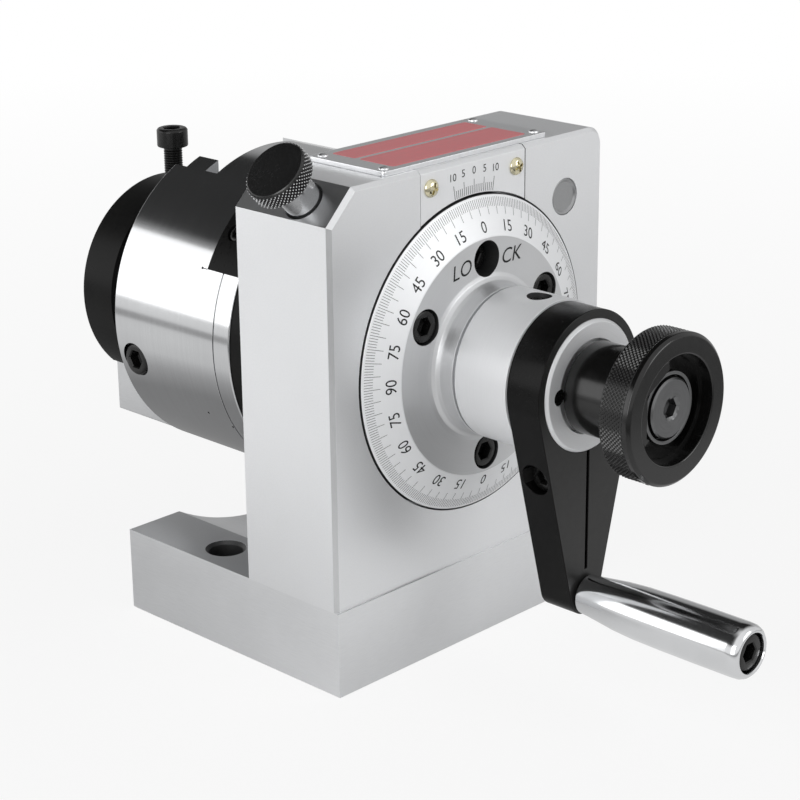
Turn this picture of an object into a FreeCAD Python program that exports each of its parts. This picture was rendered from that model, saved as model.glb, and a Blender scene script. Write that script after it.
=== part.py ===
"""Punch former: a grinding fixture whose spindle carries a V-block that turns about a level axis.

The frame has +Z up and -Y towards the dial. Its origin is the centre of the base's bottom face,
so the spindle axis runs along Y. Heights form a chain: base_height, then axis_height from the
base's top to the spindle axis, then frame_height from the axis to the upright's top. Stations
along the spindle are counted from the base's front edge, positive towards the drum.
"""
import FreeCAD, Part
import math
import os
import Sketcher
from FreeCAD import Placement, Rotation, Vector

# Driving sizes, in millimetres and degrees

SIZES = {
    # Base and upright
    "base_width": 114.5,
    "base_depth": 92.0,
    "base_height": 26.5,
    "upright_depth": 37.3,
    "upright_inset": 0.6,
    "axis_height": 63.5,
    "frame_height": 57.7,
    "corner_cut": 9.5,
    "corner_round": 5.5,
    "edge_bevel": 1.2,
    "base_bevel": 0.7,
    "trough_radius": 73.6,
    "bolt_edge": 10.35,
    "bolt_station": 59.0,
    "bolt_radius": 5.25,
    "bolt_countersink": 1.0,
    # Bores in the upright
    "recess_gap": 0.6,
    "recess_depth": 6.0,
    "cavity_clearance": 1.5,
    "cavity_gap": 1.4,
    "bush_wall": 4.0,
    "washer_wall": 8.0,
    "washer_thickness": 1.95,
    # Clearances
    "running": 0.05,
    "seat": 0.02,
    "slide_play": 0.08,
    # Vernier plate, name plate and plug
    "vernier_width": 44.0,
    "vernier_thickness": 3.0,
    "vernier_screw_spacing": 35.6,
    "vernier_screw_drop": 5.6,
    "pan_radius": 2.6,
    "pan_height": 1.5,
    "small_thread_radius": 1.5,
    "small_screw_length": 7.0,
    "plate_length": 68.0,
    "plate_width": 29.4,
    "plate_thickness": 1.5,
    "plate_setback": 2.8,
    "rivet_radius": 1.5,
    "rivet_head_height": 0.7,
    "rivet_shank_radius": 0.9,
    "rivet_shank_length": 4.0,
    "rivet_margin": 2.8,
    "plug_radius": 5.6,
    "plug_edge": 17.35,
    "plug_rise": 39.0,
    "plug_length": 5.0,
    # Index plunger: the knob starts this far outside the corner's face, the rest this far inside it
    "plunger_angle": 45.0,
    "plunger_station": 14.7,
    "plunger_knob_start": 9.44,
    "plunger_knob_radius": 9.4,
    "plunger_knob_length": 5.4,
    "plunger_knob_bevel": 0.9,
    "plunger_shank_radius": 5.4,
    "plunger_neck_start": 2.56,
    "plunger_pin_radius": 4.0,
    "plunger_tip_gap": 0.6,
    "plunger_tip_radius": 0.25,
    "plunger_tip_length": 5.7,
    "plunger_bore_radius": 6.05,
    "plunger_bore_floor": 27.36,
    "plunger_guide_start": 15.56,
    "plunger_guide_length": 8.0,
    "plunger_collar_start": 22.56,
    "plunger_collar_length": 2.0,
    "plunger_collar_radius": 5.7,
    "spring_wire_radius": 0.45,
    "spring_radius": 4.95,
    "spring_turns": 4.0,
    # Spindle
    "nose_radius": 13.5,
    "nose_setback": 3.3,
    "end_bevel": 0.8,
    "seat_radius": 20.0,
    "journal_radius": 22.0,
    "thread_radius": 17.0,
    "spindle_nut_radius": 25.0,
    "spindle_nut_length": 10.0,
    "spindle_tail": 1.0,
    "stud_radius": 6.0,
    "stud_depth": 22.0,
    "key_width": 6.0,
    "key_height": 6.0,
    "key_length": 10.0,
    # Index plate
    "index_radius": 38.5,
    "index_thickness": 13.0,
    "notch_count": 24,
    "notch_depth": 4.5,
    "notch_half_width": 3.2,
    "notch_run_out": 1.0,
    # Dial
    "dial_radius": 46.5,
    "dial_back_gap": 0.4,
    "dial_rim_station": 0.2,
    "dial_reach": 4.3,
    "dial_cone_radius": 35.4,
    "hub_radius": 22.2,
    "hub_fillet": 2.4,
    "hub_length": 7.0,
    "dial_screw_circle": 29.2,
    "dial_bore_radius": 5.25,
    "dial_bore_depth": 6.4,
    # Socket screws, M6
    "head_radius": 5.0,
    "head_height": 6.0,
    "shank_radius": 3.0,
    "socket_radius": 2.9,
    "socket_depth": 3.2,
    "dial_screw_length": 16.0,
    "lock_bore_radius": 5.3,
    "lock_screw_depth": 4.9,
    "lock_head_height": 4.4,
    "lock_screw_length": 14.5,
    # Hub sleeve and crank
    "seam_width": 0.9,
    "seam_depth": 1.7,
    "sleeve_length": 19.7,
    "neck_radius": 19.0,
    "neck_proud": 0.8,
    "sleeve_screw_radius": 3.6,
    "sleeve_screw_station": 12.7,
    "sleeve_screw_setback": 1.6,
    "key_pin_radius": 2.4,
    "key_pin_length": 12.0,
    "arm_thickness": 11.5,
    "arm_hub_radius": 21.6,
    "arm_end_radius": 6.3,
    "crank_radius": 62.7,
    "arm_bevel": 0.9,
    "slit_width": 1.0,
    "slit_length": 36.0,
    "clamp_drop": 25.0,
    "clamp_head_radius": 4.25,
    "clamp_head_height": 5.0,
    "clamp_shank_radius": 2.5,
    "clamp_seat": 7.6,
    "clamp_length": 14.0,
    # Handle
    "grip_neck_radius": 5.8,
    "grip_radius": 7.7,
    "grip_end_radius": 8.0,
    "grip_length": 57.1,
    "grip_swell": 21.0,
    "grip_round": 1.6,
    "handle_stud_radius": 4.0,
    "handle_bore_radius": 5.75,
    "handle_head_radius": 5.4,
    "handle_head_gap": 0.3,
    "handle_head_length": 5.0,
    "handle_head_sink": 0.8,
    "handle_gap": 0.7,
    # Front knob
    "knob_gap": 0.3,
    "knob_shank_radius": 13.2,
    "knob_shank_length": 18.6,
    "knob_radius": 21.4,
    "knob_thickness": 10.8,
    "knob_bevel": 1.0,
    "pocket_radius": 15.5,
    "pocket_floor_radius": 14.6,
    "pocket_step": 4.3,
    "pocket_depth": 7.2,
    "pocket_start": -6.0,
    "pocket_angle": 240.0,
    "hex_radius": 11.9,
    "hex_depth": 3.2,
    "knob_well_depth": 6.5,
    "knob_ring_radius": 9.9,
    "knob_ring_bore": 8.85,
    "knob_ring_height": 3.2,
    "cap_radius": 8.5,
    "cap_height": 4.0,
    "cap_sink": 2.2,
    # Drum
    "back_plate_inset": 0.5,
    "back_plate_thickness": 12.3,
    "drum_radius": 49.4,
    "drum_ring_thickness": 6.8,
    "drum_length": 45.6,
    "drum_bevel": 0.8,
    "drum_cavity_radius": 28.0,
    "drum_cavity_depth": 14.0,
    "drum_bore_radius": 10.0,
    "slot_depth": 19.6,
    "slot_half_width": 22.7,
    "rib_half_width": 17.4,
    "rib_setback": 5.8,
    "rib_thickness": 8.6,
    "drum_screw_x": 15.0,
    "drum_screw_z": 29.0,
    "drum_screw_length": 36.0,
    "drum_screw_sink": 6.6,
    # Stop segment
    "stop_angle": 48.5,
    "stop_span": 29.8,
    "stop_thickness": 4.8,
    "stop_overlap": 7.1,
    "stop_screw_setback": 2.1,
    "stop_screw_radius": 1.5,
    "stop_head_radius": 2.9,
    "stop_head_height": 3.0,
    "stop_screw_length": 8.0,
    # Slide lock screw
    "slide_lock_setback": 7.9,
    "slide_lock_drop": 11.4,
    "slide_lock_bore": 5.35,
    "slide_lock_seat": 41.9,
    "slide_lock_lift": 0.3,
    "slide_lock_shoulder": 25.0,
    "slide_lock_tip_radius": 1.4,
    "slide_lock_tip_gap": 0.3,
    # V-block, its heights counted from the spindle axis
    "block_bottom": -43.7,
    "block_top": -15.0,
    "carriage_top": 6.0,
    "block_overhang": 34.0,
    "v_apex": -35.4,
    "v_wall": 2.0,
    "relief_width": 2.0,
    "relief_depth": 1.5,
    "groove_bottom": -26.2,
    "groove_height": 5.4,
    "groove_depth": 4.0,
    # Clamp yoke, its heights counted from the spindle axis
    "yoke_radius": 33.9,
    "yoke_axis": -2.6,
    "yoke_thickness": 14.0,
    "yoke_proud": 0.7,
    "yoke_foot": -27.0,
    "yoke_bore_radius": 26.0,
    "yoke_bore_height": -0.5,
    "yoke_play": 0.1,
    "clamp_screw_length": 30.0,
    "clamp_screw_lift": 10.2,
}

DOC = FreeCAD.newDocument("punch_former")


class Size:
    """A number together with the spreadsheet expression that drives it."""

    def __init__(self, value, text):
        self.value = float(value)
        self.text = text

    def __add__(self, other):
        other = size(other)
        return Size(self.value + other.value, "(%s + %s)" % (self.text, other.text))

    def __radd__(self, other):
        return size(other) + self

    def __sub__(self, other):
        other = size(other)
        return Size(self.value - other.value, "(%s - %s)" % (self.text, other.text))

    def __rsub__(self, other):
        return size(other) - self

    def __mul__(self, other):
        other = size(other)
        return Size(self.value * other.value, "(%s * %s)" % (self.text, other.text))

    def __rmul__(self, other):
        return size(other) * self

    def __truediv__(self, other):
        other = size(other)
        return Size(self.value / other.value, "(%s / %s)" % (self.text, other.text))

    def __neg__(self):
        return Size(-self.value, "(0 - %s)" % self.text)


def size(value):
    """Wrap a plain number, so that it mixes with sizes from the sheet."""
    if isinstance(value, Size):
        return value
    return Size(value, "%.6f" % value if value >= 0 else "(0 - %.6f)" % -value)


def root(value):
    """Square root of a size."""
    return Size(math.sqrt(value.value), "sqrt(%s)" % value.text)


def sine(angle):
    """Sine of a size held in plain degrees."""
    return Size(math.sin(math.radians(angle.value)), "sin(%s * 1 deg)" % angle.text)


def cosine(angle):
    """Cosine of a size held in plain degrees."""
    return Size(math.cos(math.radians(angle.value)), "cos(%s * 1 deg)" % angle.text)


class Sheet:
    """Spreadsheet of the driving sizes; each one is read as an attribute."""

    def __init__(self, values):
        self.values = values
        sheet = DOC.addObject("Spreadsheet::Sheet", "Sizes")
        for row, (name, value) in enumerate(values.items(), start=1):
            sheet.set("A%d" % row, name)
            sheet.set("B%d" % row, str(value))
            sheet.setAlias("B%d" % row, name)

    def __getattr__(self, name):
        return Size(self.values[name], "Sizes." + name)


S = Sheet(SIZES)
DOC.recompute()

# Stations along the spindle, from the base's front edge

FRONT = -(S.base_depth / 2)
DIAL_BACK = S.recess_depth - S.dial_back_gap
DIAL_FACE = -S.dial_reach
HUB_END = DIAL_FACE - S.hub_length
ARM_BACK = HUB_END - S.sleeve_length
ARM_FRONT = ARM_BACK - S.arm_thickness
NECK_END = ARM_FRONT - S.neck_proud
KNOB_START = NECK_END - S.knob_gap
KNOB_BACK = KNOB_START - S.knob_shank_length
KNOB_FACE = KNOB_BACK - S.knob_thickness
INDEX_BACK = DIAL_BACK + S.index_thickness
CAVITY_FLOOR = INDEX_BACK + S.cavity_gap
PLATE_START = S.upright_depth + S.washer_thickness + S.running
RING_START = PLATE_START + S.back_plate_thickness
DRUM_START = RING_START + S.drum_ring_thickness
DRUM_END = DRUM_START + S.drum_length
SLOT_FLOOR = DRUM_END - S.slot_depth
RIB_BACK = DRUM_END - S.rib_setback
RIB_FRONT = RIB_BACK - S.rib_thickness
BLOCK_END = DRUM_END + S.block_overhang
YOKE_BACK = BLOCK_END + S.yoke_proud
YOKE_FRONT = YOKE_BACK - S.yoke_thickness

CAVITY_RADIUS = S.index_radius + S.cavity_clearance
BUSH_RADIUS = S.journal_radius + S.running + S.bush_wall
RECESS_RADIUS = S.dial_radius + S.recess_gap
AXIS_HEIGHT = S.base_height + S.axis_height
TOP = AXIS_HEIGHT + S.frame_height
AXIS = (0, FRONT, AXIS_HEIGHT)

# Distance from the spindle axis to the corner's face along the plunger

LEAN = sine(S.plunger_angle) + cosine(S.plunger_angle)
CORNER = (S.base_width / 2 + S.frame_height - S.corner_cut) / LEAN
PLUNGER_FLOOR = CORNER - S.plunger_bore_floor
PLUNGER_COLLAR = CORNER - S.plunger_collar_start
PLUNGER_GUIDE = CORNER - S.plunger_guide_start
PLUNGER_NECK = CORNER - S.plunger_neck_start
PLUNGER_KNOB = CORNER + S.plunger_knob_start

TURNS = {
    "Z": Rotation(Vector(0, 0, 1), 0),
    "-Z": Rotation(Vector(1, 0, 0), 180),
    "Y": Rotation(Vector(1, 0, 0), -90),
    "-Y": Rotation(Vector(1, 0, 0), 90),
    "X": Rotation(Vector(0, 1, 0), 90),
    "-X": Rotation(Vector(0, 1, 0), -90),
    "plunger": Rotation(Vector(0, 1, 0), -SIZES["plunger_angle"]),
}


# Helpers

def bind(obj, prop, value):
    """Drive a property by the expression of a size."""
    obj.setExpression(prop, size(value).text)


def place(obj, at, turn="Z"):
    """Give an object its place; each coordinate stays bound to the sheet."""
    x, y, z = (size(value) for value in at)
    turn = TURNS[turn] if isinstance(turn, str) else turn
    obj.Placement = Placement(Vector(x.value, y.value, z.value), turn)
    for axis, value in zip("xyz", (x, y, z)):
        bind(obj, "Placement.Base." + axis, value)
    return obj


def cylinder(name, radius, height, at, turn="Z"):
    """Cylinder that starts at a point and runs along the turned Z axis."""
    obj = DOC.addObject("Part::Cylinder", name)
    bind(obj, "Radius", radius)
    bind(obj, "Height", height)
    return place(obj, at, turn)


def cone(name, radius_1, radius_2, height, at, turn="Z"):
    """Cone that starts at a point and runs along the turned Z axis."""
    obj = DOC.addObject("Part::Cone", name)
    bind(obj, "Radius1", radius_1)
    bind(obj, "Radius2", radius_2)
    bind(obj, "Height", height)
    return place(obj, at, turn)


def box(name, length, width, height, at):
    """Box centred on X and Y of its place, rising from its Z."""
    x, y, z = (size(value) for value in at)
    obj = DOC.addObject("Part::Box", name)
    bind(obj, "Length", length)
    bind(obj, "Width", width)
    bind(obj, "Height", height)
    return place(obj, (x - size(length) / 2, y - size(width) / 2, z))


def hexagon(name, radius, height, at, turn="Z"):
    """Hexagonal prism, for sockets and recesses."""
    obj = DOC.addObject("Part::Prism", name)
    obj.Polygon = 6
    bind(obj, "Circumradius", radius)
    bind(obj, "Height", height)
    return place(obj, at, turn)


def fuse(name, parts):
    """Union of several objects."""
    obj = DOC.addObject("Part::MultiFuse", name)
    obj.Shapes = parts
    return obj


def cut(name, base, tools):
    """Base with one or more tools taken away."""
    obj = DOC.addObject("Part::Cut", name)
    obj.Base = base
    obj.Tool = tools[0] if len(tools) == 1 else fuse(name + "_tools", tools)
    return obj


def group(name, parts):
    """Identical fasteners as separate solids of one node."""
    obj = DOC.addObject("Part::Compound", name)
    obj.Links = parts
    return obj


def plane_of(body, role):
    """Origin plane of a body."""
    return next(f for f in body.Origin.OriginFeatures if f.Role == role)


def add_sketch(body, name, role, offset=0):
    """Sketch on an origin plane of its own body, moved along the plane's normal."""
    sketch = body.newObject("Sketcher::SketchObject", name)
    sketch.AttachmentSupport = [(plane_of(body, role), "")]
    sketch.MapMode = "FlatFace"
    bind(sketch, "AttachmentOffset.Base.z", offset)
    return sketch


def fix_point(sketch, geometry, point, x, y):
    """Hold a sketch point at sheet-driven coordinates."""
    for kind, value, axis in (("DistanceX", x, -2), ("DistanceY", y, -1)):
        value = size(value)
        if abs(value.value) < 1e-9 and "Sizes" not in value.text:
            sketch.addConstraint(Sketcher.Constraint("PointOnObject", geometry, point, axis))
        else:
            rule = Sketcher.Constraint(kind, -1, 1, geometry, point, value.value)
            index = sketch.addConstraint(rule)
            sketch.setExpression("Constraints[%d]" % index, value.text)


def draw_polygon(sketch, points):
    """Closed outline through points whose coordinates are sizes."""
    corners = [Vector(size(x).value, size(y).value, 0) for x, y in points]
    count = len(corners)
    first = sketch.GeometryCount
    for i in range(count):
        sketch.addGeometry(Part.LineSegment(corners[i], corners[(i + 1) % count]), False)
    for i in range(count):
        link = (first + i, 2, first + (i + 1) % count, 1)
        sketch.addConstraint(Sketcher.Constraint("Coincident", *link))
    for i, (x, y) in enumerate(points):
        fix_point(sketch, first + i, 1, x, y)


def draw_circle(sketch, radius, x=0, y=0):
    """Circle held by its centre and radius."""
    centre = Vector(size(x).value, size(y).value, 0)
    circle = Part.Circle(centre, Vector(0, 0, 1), size(radius).value)
    index = sketch.addGeometry(circle, False)
    if size(x).value == 0 and size(y).value == 0:
        sketch.addConstraint(Sketcher.Constraint("Coincident", index, 3, -1, 1))
    else:
        fix_point(sketch, index, 3, x, y)
    rule = sketch.addConstraint(Sketcher.Constraint("Radius", index, size(radius).value))
    sketch.setExpression("Constraints[%d]" % rule, size(radius).text)


def new_body(name, at=(0, 0, 0)):
    """Empty body at a sheet-driven place."""
    return place(DOC.addObject("PartDesign::Body", name), at)


def turned(name, profile, at=AXIS):
    """Body revolved about the Y axis from (station, radius) points."""
    body = new_body(name, at)
    sketch = add_sketch(body, name + "_profile", "YZ_Plane")
    draw_polygon(sketch, profile)
    turn = body.newObject("PartDesign::Revolution", name + "_turn")
    turn.Profile = sketch
    turn.ReferenceAxis = (sketch, ["H_Axis"])
    turn.Angle = 360
    sketch.Visibility = False
    return body


def pad(body, sketch, length, reverse=False):
    """Pad a sketch by a driven length."""
    feature = body.newObject("PartDesign::Pad", sketch.Name + "_pad")
    feature.Profile = sketch
    bind(feature, "Length", length)
    feature.Reversed = reverse
    return feature


def pocket(body, sketch, length, reverse=False):
    """Cut a sketch out of a body by a driven depth, and make sure that it cuts."""
    DOC.recompute()
    before = body.Shape.Volume
    feature = body.newObject("PartDesign::Pocket", sketch.Name + "_pocket")
    feature.Profile = sketch
    bind(feature, "Length", length)
    feature.Reversed = reverse
    DOC.recompute()
    if feature.Shape.Volume >= before - 1e-6:
        raise RuntimeError("%s cuts nothing" % feature.Name)
    return feature


def bore(body, name, radius, depth, at, turn="Y"):
    """Round hole in a body, from a point along the turned Z axis."""
    feature = body.newObject("PartDesign::SubtractiveCylinder", name)
    bind(feature, "Radius", radius)
    bind(feature, "Height", depth)
    return place(feature, at, turn)


def polar(station_radius, degrees):
    """X and Z of a point on a circle about the spindle axis, from the top."""
    angle = math.radians(degrees)
    return station_radius * math.sin(angle), AXIS_HEIGHT + station_radius * math.cos(angle)


def socket_screw(name, at, turn, head, shank, socket, sink=0):
    """Socket head screw: its place is the underside of the head, its Z points out."""
    head_radius, head_height = head
    shank_radius, length = shank
    socket_radius, socket_depth = socket
    top = cylinder(name + "_head", head_radius, head_height, (0, 0, 0))
    stem = cylinder(name + "_stem", shank_radius, length + 0.5, (0, 0, -size(length)))
    recess = size(head_height) - socket_depth
    hollow = hexagon(name + "_socket", socket_radius, size(socket_depth) + 1, (0, 0, recess))
    solid = fuse(name + "_blank", [top, stem])
    return place(cut(name, solid, [hollow]), at, turn)


def m6_screw(name, length, at, turn):
    """M6 socket head cap screw."""
    head = (S.head_radius, S.head_height)
    return socket_screw(name, at, turn, head, (S.shank_radius, length), (S.socket_radius, S.socket_depth))


def edge_names(feature, test):
    """Names of a feature's straight or round edges whose ends pass a test."""
    DOC.recompute()
    names = []
    for index, edge in enumerate(feature.Shape.Edges, start=1):
        if all(test(vertex.Point) for vertex in edge.Vertexes):
            names.append("Edge%d" % index)
    if not names:
        raise RuntimeError("no edges found on " + feature.Name)
    return names


def dress(body, kind, name, base, prop, value, test):
    """Fillet or chamfer on the edges that pass a test."""
    feature = body.newObject("PartDesign::" + kind, name)
    feature.Base = (base, edge_names(base, test))
    bind(feature, prop, value)
    DOC.recompute()
    return feature


def near(a, b):
    """Whether two numbers agree within a hair."""
    return abs(a - size(b).value) < 1e-4


# Frame

def frame_casting():
    """Base block with its upright, rear feet, trough and bores."""
    half = S.base_width / 2
    body = new_body("frame_casting")
    base = add_sketch(body, "base_outline", "XY_Plane")
    back = S.base_depth / 2
    draw_polygon(base, [(-half, -back), (half, -back), (half, back), (-half, back)])
    pad(body, base, S.base_height)
    upright = add_sketch(body, "upright_outline", "XZ_Plane", -(FRONT + S.upright_inset))
    low = S.base_height / 2
    top = TOP
    outline = [(-half, low), (half, low), (half, top), (S.corner_cut - half, top)]
    outline.append((-half, top - S.corner_cut))
    draw_polygon(upright, outline)
    stem = pad(body, upright, S.upright_depth - S.upright_inset, True)

    def on_corner(point):
        return near(point.x, half) and near(point.z, top)

    rounded = dress(body, "Fillet", "corner_fillet", stem, "Radius", S.corner_round, on_corner)
    front = FRONT + S.upright_inset

    def on_front(point):
        return near(point.y, front) and point.z > SIZES["base_height"] - 0.01

    def on_bottom(point):
        return near(point.z, 0)

    edges = edge_names(rounded, on_front)
    edges = [name for name in edges if rounded.Shape.getElement(name).BoundBox.ZMax > SIZES["base_height"] + 1]
    bevel = body.newObject("PartDesign::Chamfer", "upright_bevel")
    bevel.Base = (rounded, edges)
    bind(bevel, "Size", S.edge_bevel)
    dress(body, "Chamfer", "bottom_bevel", bevel, "Size", S.base_bevel, on_bottom)
    trough = add_sketch(body, "trough", "XZ_Plane", -(FRONT + S.upright_depth))
    draw_circle(trough, S.trough_radius, 0, AXIS_HEIGHT)
    pocket(body, trough, S.base_depth - S.upright_depth + 1)
    bore(body, "dial_recess", RECESS_RADIUS, S.recess_depth, AXIS)
    bore(body, "cavity", CAVITY_RADIUS, CAVITY_FLOOR, AXIS)
    bore(body, "bush_bore", BUSH_RADIUS, S.upright_depth + 1, AXIS)
    recess = add_sketch(body, "vernier_recess", "XZ_Plane", -(FRONT + S.upright_inset))
    side = S.vernier_width / 2
    bottom = AXIS_HEIGHT + root(RECESS_RADIUS * RECESS_RADIUS - side * side) - 2
    draw_polygon(recess, [(-side, bottom), (side, bottom), (side, top + 1), (-side, top + 1)])
    pocket(body, recess, S.vernier_thickness)
    for index, sign in enumerate((-1, 1), start=1):
        x = sign * S.vernier_screw_spacing / 2
        at = (x, front, top - S.vernier_screw_drop)
        bore(body, "vernier_hole_%d" % index, S.small_thread_radius + S.running, S.small_screw_length + 1, at)
        at = (sign * (half - S.bolt_edge), FRONT + S.bolt_station, -1)
        bore(body, "bolt_hole_%d" % index, S.bolt_radius, S.base_height + 2, at, "Z")
        sink = body.newObject("PartDesign::SubtractiveCone", "bolt_sink_%d" % index)
        bind(sink, "Radius1", S.bolt_radius)
        bind(sink, "Radius2", S.bolt_radius + 2 * S.bolt_countersink)
        bind(sink, "Height", 2 * S.bolt_countersink)
        place(sink, (at[0], at[1], S.base_height - S.bolt_countersink))
    for index, (x, y) in enumerate(rivet_places(), start=1):
        at = (x, y, top - S.rivet_shank_length)
        bore(body, "rivet_hole_%d" % index, S.rivet_shank_radius + S.running, S.rivet_shank_length + 1, at, "Z")
    at = (half - S.plug_edge, FRONT, AXIS_HEIGHT + S.plug_rise)
    bore(body, "plug_hole", S.plug_radius + S.seat, S.upright_inset + S.plug_length, at)
    deep = S.plunger_bore_floor + S.corner_cut
    bore(body, "plunger_bore", S.plunger_bore_radius, deep, plunger_at(PLUNGER_FLOOR), "plunger")
    guide = S.plunger_pin_radius + S.running
    bore(body, "pin_bore", guide, PLUNGER_FLOOR - CAVITY_RADIUS + 4, plunger_at(CAVITY_RADIUS - 3), "plunger")
    return body


def plunger_at(reach):
    """Point on the plunger's axis, at a distance from the spindle axis."""
    x = -reach * sine(S.plunger_angle)
    z = AXIS_HEIGHT + reach * cosine(S.plunger_angle)
    return x, FRONT + S.plunger_station, z


def rivet_places():
    """X and Y of the four rivets of the name plate."""
    x = S.plate_length / 2 - S.rivet_margin
    front = FRONT + S.plate_setback + S.rivet_margin
    back = FRONT + S.plate_setback + S.plate_width - S.rivet_margin
    return [(-x, front), (x, front), (x, back), (-x, back)]


def vernier_plate():
    """Plate above the dial, cut to the dial's circle."""
    front = FRONT + S.upright_inset
    body = new_body("vernier_plate")
    profile = add_sketch(body, "vernier_profile", "YZ_Plane")
    side = S.vernier_width / 2
    low = AXIS_HEIGHT + root(RECESS_RADIUS * RECESS_RADIUS - side * side) - 1
    top = TOP
    back = front + S.vernier_thickness
    points = [(front, low), (back, low), (back, top), (front + S.edge_bevel, top)]
    points.append((front, top - S.edge_bevel))
    draw_polygon(profile, points)
    plate = pad(body, profile, S.vernier_width)
    plate.Midplane = True
    through = S.vernier_thickness + S.upright_inset + 2
    bore(body, "vernier_arc", RECESS_RADIUS, through, (0, FRONT - 1, AXIS_HEIGHT))
    for index, sign in enumerate((-1, 1), start=1):
        at = (sign * S.vernier_screw_spacing / 2, FRONT - 1, top - S.vernier_screw_drop)
        bore(body, "vernier_clear_%d" % index, S.small_thread_radius + S.running, through, at)
    return body


def vernier_screws():
    """Two pan head screws that hold the vernier plate."""
    screws = []
    for index, sign in enumerate((-1, 1), start=1):
        name = "vernier_screw_%d" % index
        head = cone(name + "_head", S.pan_radius, S.pan_radius * 0.7, S.pan_height, (0, 0, 0))
        stem = cylinder(name + "_stem", S.small_thread_radius, S.small_screw_length + 0.5, (0, 0, -S.small_screw_length))
        slots = [
            box(name + "_slot_a", 2.6, 0.6, 1, (0, 0, S.pan_height - 0.7)),
            box(name + "_slot_b", 0.6, 2.6, 1, (0, 0, S.pan_height - 0.7)),
        ]
        screw = cut(name, fuse(name + "_blank", [head, stem]), slots)
        at = (sign * S.vernier_screw_spacing / 2, FRONT + S.upright_inset, TOP - S.vernier_screw_drop)
        screws.append(place(screw, at, "-Y"))
    return group("vernier_screws", screws)


def name_plate():
    """Thin plate riveted on top of the upright."""
    at = (0, FRONT + S.plate_setback + S.plate_width / 2, TOP)
    plate = box("plate_blank", S.plate_length, S.plate_width, S.plate_thickness, at)
    holes = []
    for index, (x, y) in enumerate(rivet_places(), start=1):
        radius = S.rivet_shank_radius + S.running
        holes.append(cylinder("plate_hole_%d" % index, radius, 6, (x, y, TOP - 2)))
    return cut("name_plate", plate, holes)


def name_plate_rivets():
    """Four rivets with low round heads."""
    top = TOP + S.plate_thickness
    rivets = []
    for index, (x, y) in enumerate(rivet_places(), start=1):
        name = "rivet_%d" % index
        head = cone(name + "_head", S.rivet_radius, S.rivet_radius * 0.6, S.rivet_head_height, (x, y, top))
        length = S.rivet_shank_length
        low = TOP - length + 0.5
        stem = cylinder(name + "_stem", S.rivet_shank_radius, length + S.plate_thickness, (x, y, low))
        rivets.append(fuse(name, [head, stem]))
    return group("name_plate_rivets", rivets)


def face_plug():
    """Dished plug that closes a hole in the upright's face."""
    front = S.upright_inset
    back = front + S.plug_length
    rim = S.plug_radius
    profile = [(front + 0.5, 0), (back, 0), (back, rim), (front, rim), (front, rim - 0.9)]
    x = S.base_width / 2 - S.plug_edge
    return turned("face_plug", profile, (x, FRONT, AXIS_HEIGHT + S.plug_rise))


def journal_bush():
    """Plain bearing bush of the spindle."""
    bore_radius = S.journal_radius + S.running
    outer = BUSH_RADIUS - S.seat
    start = CAVITY_FLOOR
    end = S.upright_depth
    return turned("journal_bush", [(start, bore_radius), (end, bore_radius), (end, outer), (start, outer)])


def thrust_washer():
    """Washer between the upright and the back plate."""
    start = S.upright_depth
    end = start + S.washer_thickness
    outer = BUSH_RADIUS + S.washer_wall
    return turned("thrust_washer", [(start, BUSH_RADIUS), (end, BUSH_RADIUS), (end, outer), (start, outer)])


def plunger_guide():
    """Threaded guide that holds the plunger pin and the spring."""
    at = plunger_at(PLUNGER_GUIDE)
    sleeve = cylinder("guide_blank", S.plunger_bore_radius - S.seat, S.plunger_guide_length, at, "plunger")
    at = plunger_at(PLUNGER_GUIDE - 2)
    hole = cylinder("guide_hole", S.plunger_pin_radius + S.running, S.plunger_guide_length + 4, at, "plunger")
    return cut("plunger_guide", sleeve, [hole])


# Index plunger, parked clear of the index plate

def plunger_pin():
    """Pin with its tip, spring collar and polished neck."""
    start = S.index_radius + S.plunger_tip_gap
    tip = cone("pin_tip", S.plunger_tip_radius, S.plunger_pin_radius, S.plunger_tip_length, plunger_at(start), "plunger")
    root_at = start + S.plunger_tip_length
    length = PLUNGER_NECK - root_at
    core = cylinder("pin_core", S.plunger_pin_radius, length, plunger_at(root_at), "plunger")
    at = plunger_at(PLUNGER_COLLAR)
    collar = cylinder("pin_collar", S.plunger_collar_radius, S.plunger_collar_length, at, "plunger")
    length = PLUNGER_KNOB - PLUNGER_NECK
    neck = cylinder("pin_neck", S.plunger_shank_radius, length, plunger_at(PLUNGER_NECK), "plunger")
    return fuse("plunger_pin", [tip, core, collar, neck])


def plunger_knob():
    """Round pull knob with bevelled ends."""
    bevel = S.plunger_knob_bevel
    inner = S.plunger_knob_radius - bevel
    start = PLUNGER_KNOB
    end = start + S.plunger_knob_length
    back = cone("pull_back", inner, S.plunger_knob_radius, bevel, plunger_at(start), "plunger")
    length = S.plunger_knob_length - 2 * bevel
    middle = cylinder("pull_middle", S.plunger_knob_radius, length, plunger_at(start + bevel), "plunger")
    face = cone("pull_face", S.plunger_knob_radius, inner, bevel, plunger_at(end - bevel), "plunger")
    return fuse("plunger_knob", [back, middle, face])


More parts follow.
